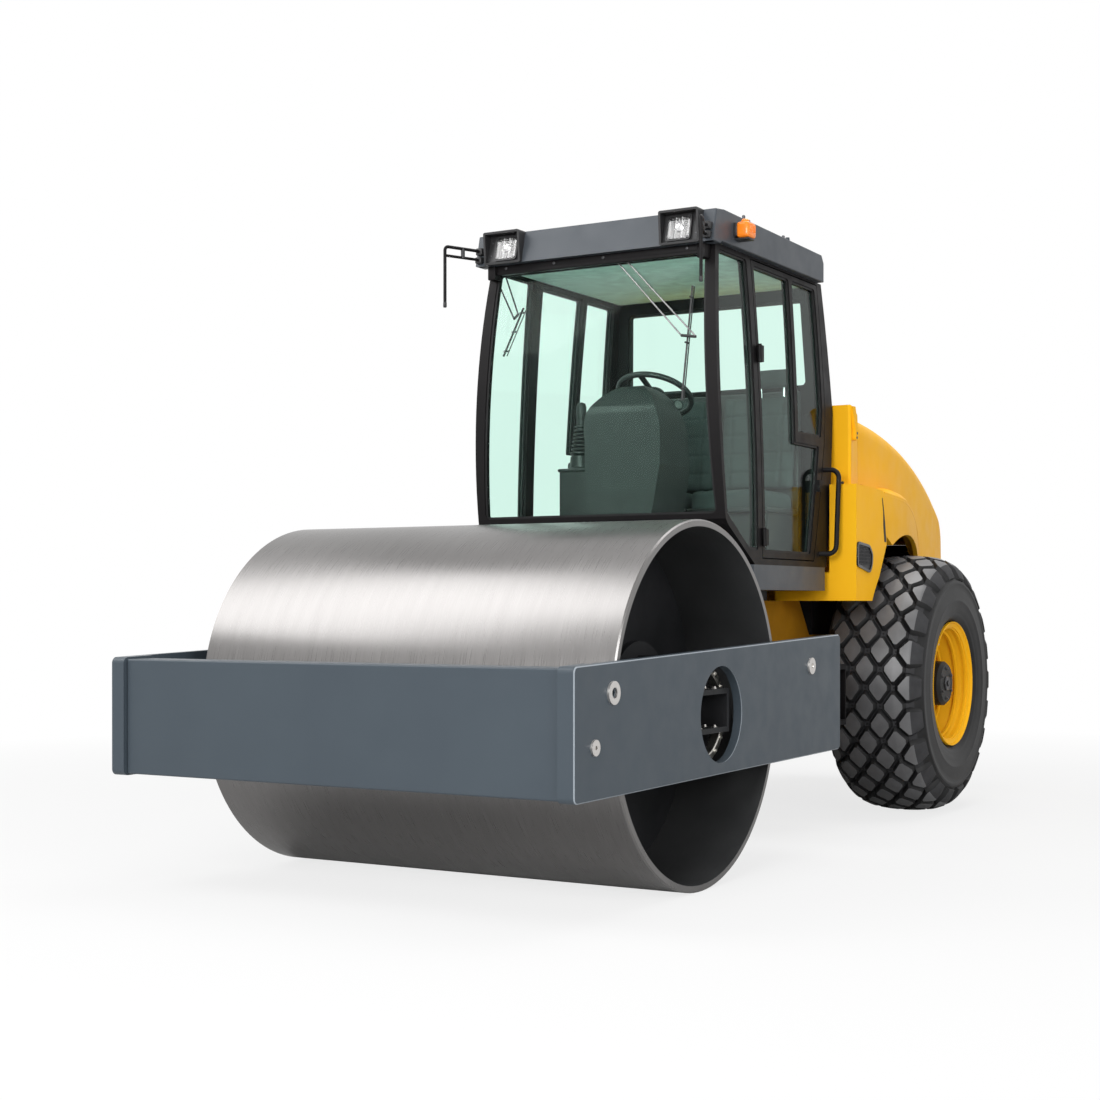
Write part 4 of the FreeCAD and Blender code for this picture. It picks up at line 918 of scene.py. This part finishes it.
seals()
wiper("wiper_front", on_front, [((0.084, 2.862), (0.485, 2.440)), ((0.133, 2.862), (0.563, 2.428))],
      [(0.527, 2.675), (0.490, 2.136)], [(0.485, 2.440), (0.563, 2.428)])
wiper("wiper_side", on_side(-1), [((1.216, 2.866), (1.364, 2.686)), ((1.100, 2.866), (1.327, 2.657))],
      [(1.399, 2.722), (1.235, 2.453)], [(1.364, 2.686), (1.327, 2.657)], "bolt_dark")



# Inside the cab

def stuffed(name, outline, places):
    """Plain cushions of one outline, ready to be filled."""
    made = []
    for i, (low, high) in enumerate(places):
        bm = bmesh.new()
        prism(bm, outline, lambda a, b, x: Vector((x, y(a), b)), low, high)
        bmesh.ops.recalc_face_normals(bm, faces=bm.faces)
        bmesh.ops.bevel(bm, geom=list(bm.edges), offset=0.022, segments=3, profile=0.5, affect="EDGES")
        mesh = bpy.data.meshes.new("%s_%d" % (name, i))
        bm.to_mesh(mesh)
        bm.free()
        thing = bpy.data.objects.new("%s_%d" % (name, i), mesh)
        bpy.context.scene.collection.objects.link(thing)
        remesh = thing.modifiers.new("remesh", "REMESH")
        remesh.mode = "VOXEL"
        remesh.voxel_size = 0.009
        fixed(thing)
        made.append(thing)
    return made


def fixed(thing):
    """Applies a piece's modifiers to its mesh."""
    graph = bpy.context.evaluated_depsgraph_get()
    mesh = bpy.data.meshes.new_from_object(thing.evaluated_get(graph))
    thing.modifiers.clear()
    old = thing.data
    thing.data = mesh
    bpy.data.meshes.remove(old)


def pressed(thing, channels):
    """Presses soft grooves into a cushion: axis, place, width, depth and the face's direction."""
    mesh = thing.data
    for vertex in mesh.vertices:
        shift = Vector()
        for axis, where, width, depth, face in channels:
            share = max(0.0, vertex.normal.dot(Vector(face).normalized()))
            gap = (vertex.co["xyz".index(axis)] - where) / width
            shift -= Vector(face).normalized() * depth * share * math.exp(-gap * gap)
        vertex.co += shift


SEATS = [(-0.232, 0.117), (0.148, 0.572)]
MOST_SWELL = 0.010


def seats():
    """Two seats with bolsters and a headrest, each pad filled by simulation."""
    cushion = [(1.732, 1.652), (2.120, 1.652), (2.120, 1.742), (1.732, 1.752)]
    back = [(2.072, 1.772), (2.142, 1.772), (2.205, 2.272), (2.142, 2.280)]
    headrest = [(2.140, 2.318), (2.205, 2.318), (2.205, 2.412), (2.140, 2.412)]
    pads = stuffed("seat_cushion_pad", cushion, SEATS)
    backs = stuffed("seat_back_pad", back, SEATS)
    rest = stuffed("headrest_pad", headrest, [(0.298, 0.552)])
    everything = pads + backs + rest
    starts = {thing: [v.co.copy() for v in thing.data.vertices] for thing in everything}
    for thing in everything:
        cloth = thing.modifiers.new("cloth", "CLOTH")
        cloth.settings.use_pressure = True
        cloth.settings.uniform_pressure_force = 4
        cloth.settings.effector_weights.gravity = 0
    for frame_number in range(1, 21):
        bpy.context.scene.frame_set(frame_number)
    for thing in everything:
        fixed(thing)
    bpy.context.scene.frame_set(1)
    for thing in everything:
        for vertex, start in zip(thing.data.vertices, starts[thing]):
            move = vertex.co - start
            if move.length > MOST_SWELL:
                vertex.co = start + move.normalized() * MOST_SWELL
    up, forward = (0, 0, 1), (0, -1, 0.12)
    for thing, (low, high) in zip(pads, SEATS):
        pressed(thing, [("x", low + 0.075, 0.008, 0.012, up), ("x", high - 0.075, 0.008, 0.012, up),
                        ("y", y(1.86), 0.008, 0.008, up), ("y", y(1.98), 0.008, 0.008, up)])
    for thing, (low, high) in zip(backs, SEATS):
        pressed(thing, [("x", low + 0.070, 0.008, 0.012, forward), ("x", high - 0.070, 0.008, 0.012, forward)]
                + [("z", z, 0.007, 0.008, forward) for z in (1.87, 1.97, 2.07, 2.17)])
    for thing in everything:
        thing.modifiers.new("smooth", "SUBSURF").levels = 1
        thing.modifiers["smooth"].render_levels = 1
        fixed(thing)
        thing.data.polygons.foreach_set("use_smooth", [True] * len(thing.data.polygons))
        thing.data.materials.clear()
        thing.data.materials.append(MATERIALS["seat_fabric"])
        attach(thing, "rear_frame")
    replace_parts(pads[0], "seat_cushions")
    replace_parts(backs[0], "seat_backs")
    bm = bmesh.new()
    for x in (0.36, 0.49):
        tube(bm, [place(x, 2.178, 2.25), place(x, 2.176, 2.33)], 0.007)
    piece("headrest_rods", bm, "ram_chrome")
    trays = [((low - 0.012, high + 0.012), (1.74, 2.14), (1.640, 1.668), 0.008) for low, high in SEATS]
    slabs("seat_trays", trays, "black_plastic")


GAUGE, GAUGE_FACING = place(0.215, 1.475, 2.172), (0.75, -0.6, 0.25)
# The joystick from its foot to its knob: the foot, then the bellows and the knob
STICK_FOOT = [(0, 0.072), (0.012, 0.072), (0.020, 0.062), (0.075, 0.058), (0.082, 0.050), (0.082, 0.044)]
STICK_KNOB = [(0.252, 0.018), (0.262, 0.022), (0.300, 0.027), (0.340, 0.027), (0.358, 0.021), (0.366, 0)]


def console_parts():
    """Joystick, gauge, hub cap of the steering wheel, keys, pedals, floor mat, arm pad and lining."""
    bm = bmesh.new()
    base, up = place(-0.445, 1.660, 1.878), (0, 0, 1)
    ridges = [STICK_FOOT[-1]]
    for i in range(8):
        z, wide = 0.086 + i * 0.020, 0.058 - i * 0.0032
        ridges += [(z, wide - 0.012), (z + 0.006, wide), (z + 0.012, wide), (z + 0.018, wide - 0.013)]
    lathe(bm, base, up, STICK_FOOT, 32)
    lathe(bm, base, up, ridges + [(0.256, 0.018)], 28)
    lathe(bm, base, up, STICK_KNOB, 24)
    slab(bm, (-0.530, -0.320), (1.550, 2.090), (1.868, 1.886), 0.008)
    piece("joystick", bm, "black_plastic")
    bm = bmesh.new()
    lathe(bm, GAUGE, GAUGE_FACING, [
        (-0.05, 0), (-0.05, 0.026), (0.014, 0.028), (0.018, 0.026), (0.018, 0.021), (0.012, 0.020)], 28)
    tube(bm, [place(0.16, 1.46, 2.10), place(0.205, 1.47, 2.150)], 0.012)
    piece("side_gauge", bm, "black_plastic")
    bm = bmesh.new()
    lathe(bm, GAUGE, GAUGE_FACING, [(0.012, 0.0205), (0.014, 0.0205), (0.014, 0)], 28)
    piece("side_gauge_face", bm, "lamp_lens", "pale_disc")
    bm = bmesh.new()
    hub = Matrix.Translation(place(0.030, 1.590, 2.245)) @ Matrix.Rotation(math.radians(-28), 4, "X")
    upward = hub.to_3x3() @ Vector((0, 0, 1))
    lathe(bm, hub @ Vector((0, 0, 0.010)), upward, [
        (-0.03, 0.055), (0.0, 0.055), (0.012, 0.046), (0.015, 0.030), (0.015, 0)], 32)
    block(bm, (-0.014, -0.180, -0.009), (0.014, -0.03, 0.007), 0.004, 2, hub)
    lathe(bm, hub @ Vector((-0.165, 0.09, 0.012)), upward, [
        (0, 0.014), (0.012, 0.014), (0.016, 0.022), (0.040, 0.023), (0.048, 0.016), (0.050, 0)], 20)
    piece("wheel_cap", bm, "black_plastic")
    keys = [((x - 0.024, x + 0.024), (1.430, 1.475), (2.196, 2.212), 0.004) for x in (-0.10, -0.03, 0.04)]
    pedals = [((x, x + 0.09), (1.47, 1.62), (1.366, 1.400), 0.008) for x in (-0.42, -0.06, 0.10)]
    slabs("console_keys", keys + pedals, "black_plastic", "seal_rubber")
    ribs = []
    for i in range(14):
        start = 1.56 + i * 0.045
        width = (-0.30, 0.62) if start < 1.78 else (0.575, 0.63)
        ribs.append((width, (start, start + 0.022), (1.3645, 1.371), 0.003, 1))
    slabs("floor_mat", ribs, "black_plastic", "seal_rubber")
    slabs("arm_pad", [((-0.560, -0.360), (1.70, 2.05), (1.886, 1.935), 0.020, 3)], "seat_fabric")
    sills = [((side * 0.592, side * 0.622), (1.50, 2.24), (1.372, 1.440), 0.010) for side in (1, -1)]
    slabs("cab_lining", sills + [((-0.56, 0.56), (2.205, 2.245), (1.372, 2.300), 0.012)], "black_plastic")


seats()
console_parts()


# Rear bodywork

FENDER_STRIP = [
    (2.684, 1.746), (2.703, 1.674), (2.704, 1.603), (2.722, 1.511), (2.750, 1.511), (2.730, 1.620),
    (2.714, 1.682), (2.691, 1.750)]
VENT = [(2.300, 1.372), (2.486, 1.337), (2.522, 1.378), (2.530, 1.440), (2.482, 1.488), (2.308, 1.503)]


def vents():
    """Air inlets of the fender boxes, and the black strip beside each flare."""
    frames, grids, strips = bmesh.new(), bmesh.new(), bmesh.new()
    for side in (1, -1):
        spot = across(0.850, side)
        prism(strips, FENDER_STRIP, spot, -0.0015, 0.002)
        band(frames, VENT, 0.014, 0.022, spot, -0.009, 0.001)
        prism(grids, rounded(inset(VENT, 0.012), 0.012), spot, -0.0022, 0.001)
        upright = [((2.322 + i * 0.0205, 1.380), (2.322 + i * 0.0205, 1.486 - i * 0.003)) for i in range(9)]
        level = [((2.318, 1.384 + i * 0.0180), (2.505, 1.384 + i * 0.0180)) for i in range(6)]
        for start, end in upright + level:
            tube(grids, [spot(*start, -0.003), spot(*end, -0.003)], 0.0022, sides=6)
    piece("vent_frames", frames, "black_plastic", "satin_black")
    piece("vent_grids", grids, "black_plastic")
    piece("fender_strips", strips, "black_plastic", "seal_rubber")


flare_half = arc_through((0.830, 2.700), (0.800, 3.250), (0.620, 3.950))
hood_half = arc_through((0.712, 2.500), (0.663, 3.600), (0.465, 4.950))
flare_arc = arc_through((1.762, 3.180), (1.600, 3.640), (1.400, 3.900))


def flare_shoulders():
    """A rounded shoulder from the flare's edge to the hood's side, low at its front end."""
    bm = bmesh.new()
    turns = [math.radians(10 * k) for k in range(10)]
    for side in (1, -1):
        rings = []
        for i in range(37):
            from_drum = 2.776 + i * 0.0308
            edge = 1.788 - (from_drum - 2.775) * 0.0642 if from_drum < 3.180 else flare_arc(from_drum)
            rise = 0.018 + 0.052 * min(1, i / 8)
            foot, wide = hood_half(from_drum) - 0.004, flare_half(from_drum) + 0.001
            section = [(foot + (wide - foot) * math.cos(t), rise * math.sin(t)) for t in turns] + [(foot, 0)]
            rings.append([bm.verts.new(place(side * x, from_drum, edge - 0.016 + z)) for x, z in section])
        for near, far in zip(rings, rings[1:]):
            joined(bm, *(near, far)[::side])
        bm.faces.new(rings[0][::-side])
        bm.faces.new(rings[-1][::side])
    piece("flare_shoulders", bm, "hood_yellow", body="hood", sharp=50)


def bulkhead_bolts():
    """Small bolts and caps on the bulkhead's sides."""
    bm = bmesh.new()
    for side in (1, -1):
        bolt(bm, place(side * 0.718, 2.440, 1.821), (0, -1, 0), 0.006)
        for from_drum, z in ((2.508, 2.066), (2.512, 2.090)):
            cap = [(0, 0.007), (0.002, 0.007), (0.0025, 0)]
            lathe(bm, place(side * 0.774, from_drum, z), (side, 0, 0), cap, 14)
    piece("bulkhead_bolts", bm, "cast_black", "bolt_dark")


def hood_fittings():
    """Louvres of the rear grille, which lean with the hood's rear face."""
    bm = bmesh.new()
    lean = Matrix.Rotation(math.radians(-32), 4, "X")
    for i in range(18):
        z = 0.985 + i * 0.0325
        middle = place(0, 4.745 - max(0, z - 1.2) * 0.09 - max(0, 1.2 - z) * 0.2, z)
        where = Matrix.Translation(middle) @ lean
        block(bm, (-0.352, -0.014, -0.003), (0.352, 0.014, 0.003), 0.0015, 1, where)
    piece("grille_louvres", bm, "inner_steel", "satin_black", "hood")


def steps_grip():
    """Punched grip pattern on each tread."""
    bm = bmesh.new()
    cone = [(0, 0.010), (0.004, 0.007), (0.004, 0.004), (0.001, 0.003), (0.001, 0)]
    for side in (1, -1):
        for z in (0.568, 0.858):
            for i in range(6):
                for j in range(8):
                    spot = place(side * (0.622 + i * 0.031), 2.02 + j * 0.032, z - 0.0005)
                    lathe(bm, spot, (0, 0, 1), cone, 10)
    piece("tread_grip", bm, "cab_black")


vents()
flare_shoulders()
bulkhead_bolts()
hood_fittings()
steps_grip()


# Camera, light and floor

def camera():
    """The photograph's viewpoint: place, turn and lens worked out from the drum, frame and cab."""
    data = bpy.data.cameras.new("camera")
    data.sensor_width = 36.0
    data.lens = 58.49
    data.shift_y = 0.0545
    data.clip_end = 100
    eye = bpy.data.objects.new("camera", data)
    bpy.context.scene.collection.objects.link(eye)
    eye.location = (4.2516, -8.4191, 1.1791)
    eye.rotation_euler = (math.radians(90 - 0.228), 0, math.radians(30.664))
    bpy.context.scene.camera = eye


def area_light(name, spot, size, power, target=(0, 0, 1.2)):
    """A soft rectangular lamp that looks at a target."""
    data = bpy.data.lights.new(name, "AREA")
    data.shape = "RECTANGLE"
    data.size, data.size_y = size
    data.energy = power
    lamp = bpy.data.objects.new(name, data)
    bpy.context.scene.collection.objects.link(lamp)
    lamp.location = spot
    lamp.rotation_euler = (Vector(target) - Vector(spot)).to_track_quat("-Z", "Y").to_euler()


def studio():
    """A pale world that the camera, reflections and glass see as white, and four soft lamps."""
    world = bpy.data.worlds.new("studio")
    world.use_nodes = True
    bpy.context.scene.world = world
    tree = world.node_tree
    plain, white = tree.nodes["Background"], node(tree, "ShaderNodeBackground")
    for background, strength in ((plain, 0.42), (white, 1.0)):
        set_values(background, Color=(1, 1, 1, 1), Strength=strength)
    rays = node(tree, "ShaderNodeLightPath").outputs
    mirrored = math_node(tree, "MAXIMUM", rays["Is Glossy Ray"], rays["Is Transmission Ray"])
    blended(tree, math_node(tree, "MAXIMUM", rays["Is Camera Ray"], mirrored), plain, white, "World Output")
    area_light("key", (-4.0, -4.7, 6.2), (4.4, 5), 300, (0, -2.2, 1.2))
    area_light("front", (2.0, -10.5, 4.0), (4, 3), 640)
    area_light("side", (8.0, -5.0, 3.4), (4, 3), 260)
    area_light("top", (1.5, 2.0, 9), (6, 6), 420)


def floor():
    """A plain pale floor that shows white but keeps the machine's shadow."""
    material, tree, shader = new_material("floor")
    tree.nodes.remove(shader)
    diffuse = node(tree, "ShaderNodeBsdfDiffuse")
    diffuse.inputs["Color"].default_value = (0.60, 0.60, 0.60, 1)
    white = node(tree, "ShaderNodeEmission")
    distance = node(tree, "ShaderNodeVectorMath", operation="LENGTH")
    tree.links.new(coordinates(tree), distance.inputs[0])
    rays = node(tree, "ShaderNodeLightPath").outputs
    direct = math_node(tree, "MAXIMUM", rays["Is Camera Ray"], rays["Is Transmission Ray"])
    near_white = span(tree, distance.outputs["Value"], 3.0, 8.0, 0.78, 1.0)
    near_dark = span(tree, distance.outputs["Value"], 3.0, 12.0, 0.03, 0.6)
    share = math_node(tree, "MAXIMUM", math_node(tree, "MULTIPLY", direct, near_white),
                      math_node(tree, "MULTIPLY", rays["Is Glossy Ray"], near_dark))
    blended(tree, share, diffuse, white, "Material Output")
    mesh = bpy.data.meshes.new("floor")
    reach = 40
    outline = [(-reach, -reach, 0), (reach, -reach, 0), (reach, reach, 0), (-reach, reach, 0)]
    mesh.from_pydata(outline, [], [(0, 1, 2, 3)])
    ground = bpy.data.objects.new("floor", mesh)
    bpy.context.scene.collection.objects.link(ground)
    mesh.materials.append(material)


camera()
studio()
floor()
bpy.context.scene.view_settings.view_transform = "Standard"
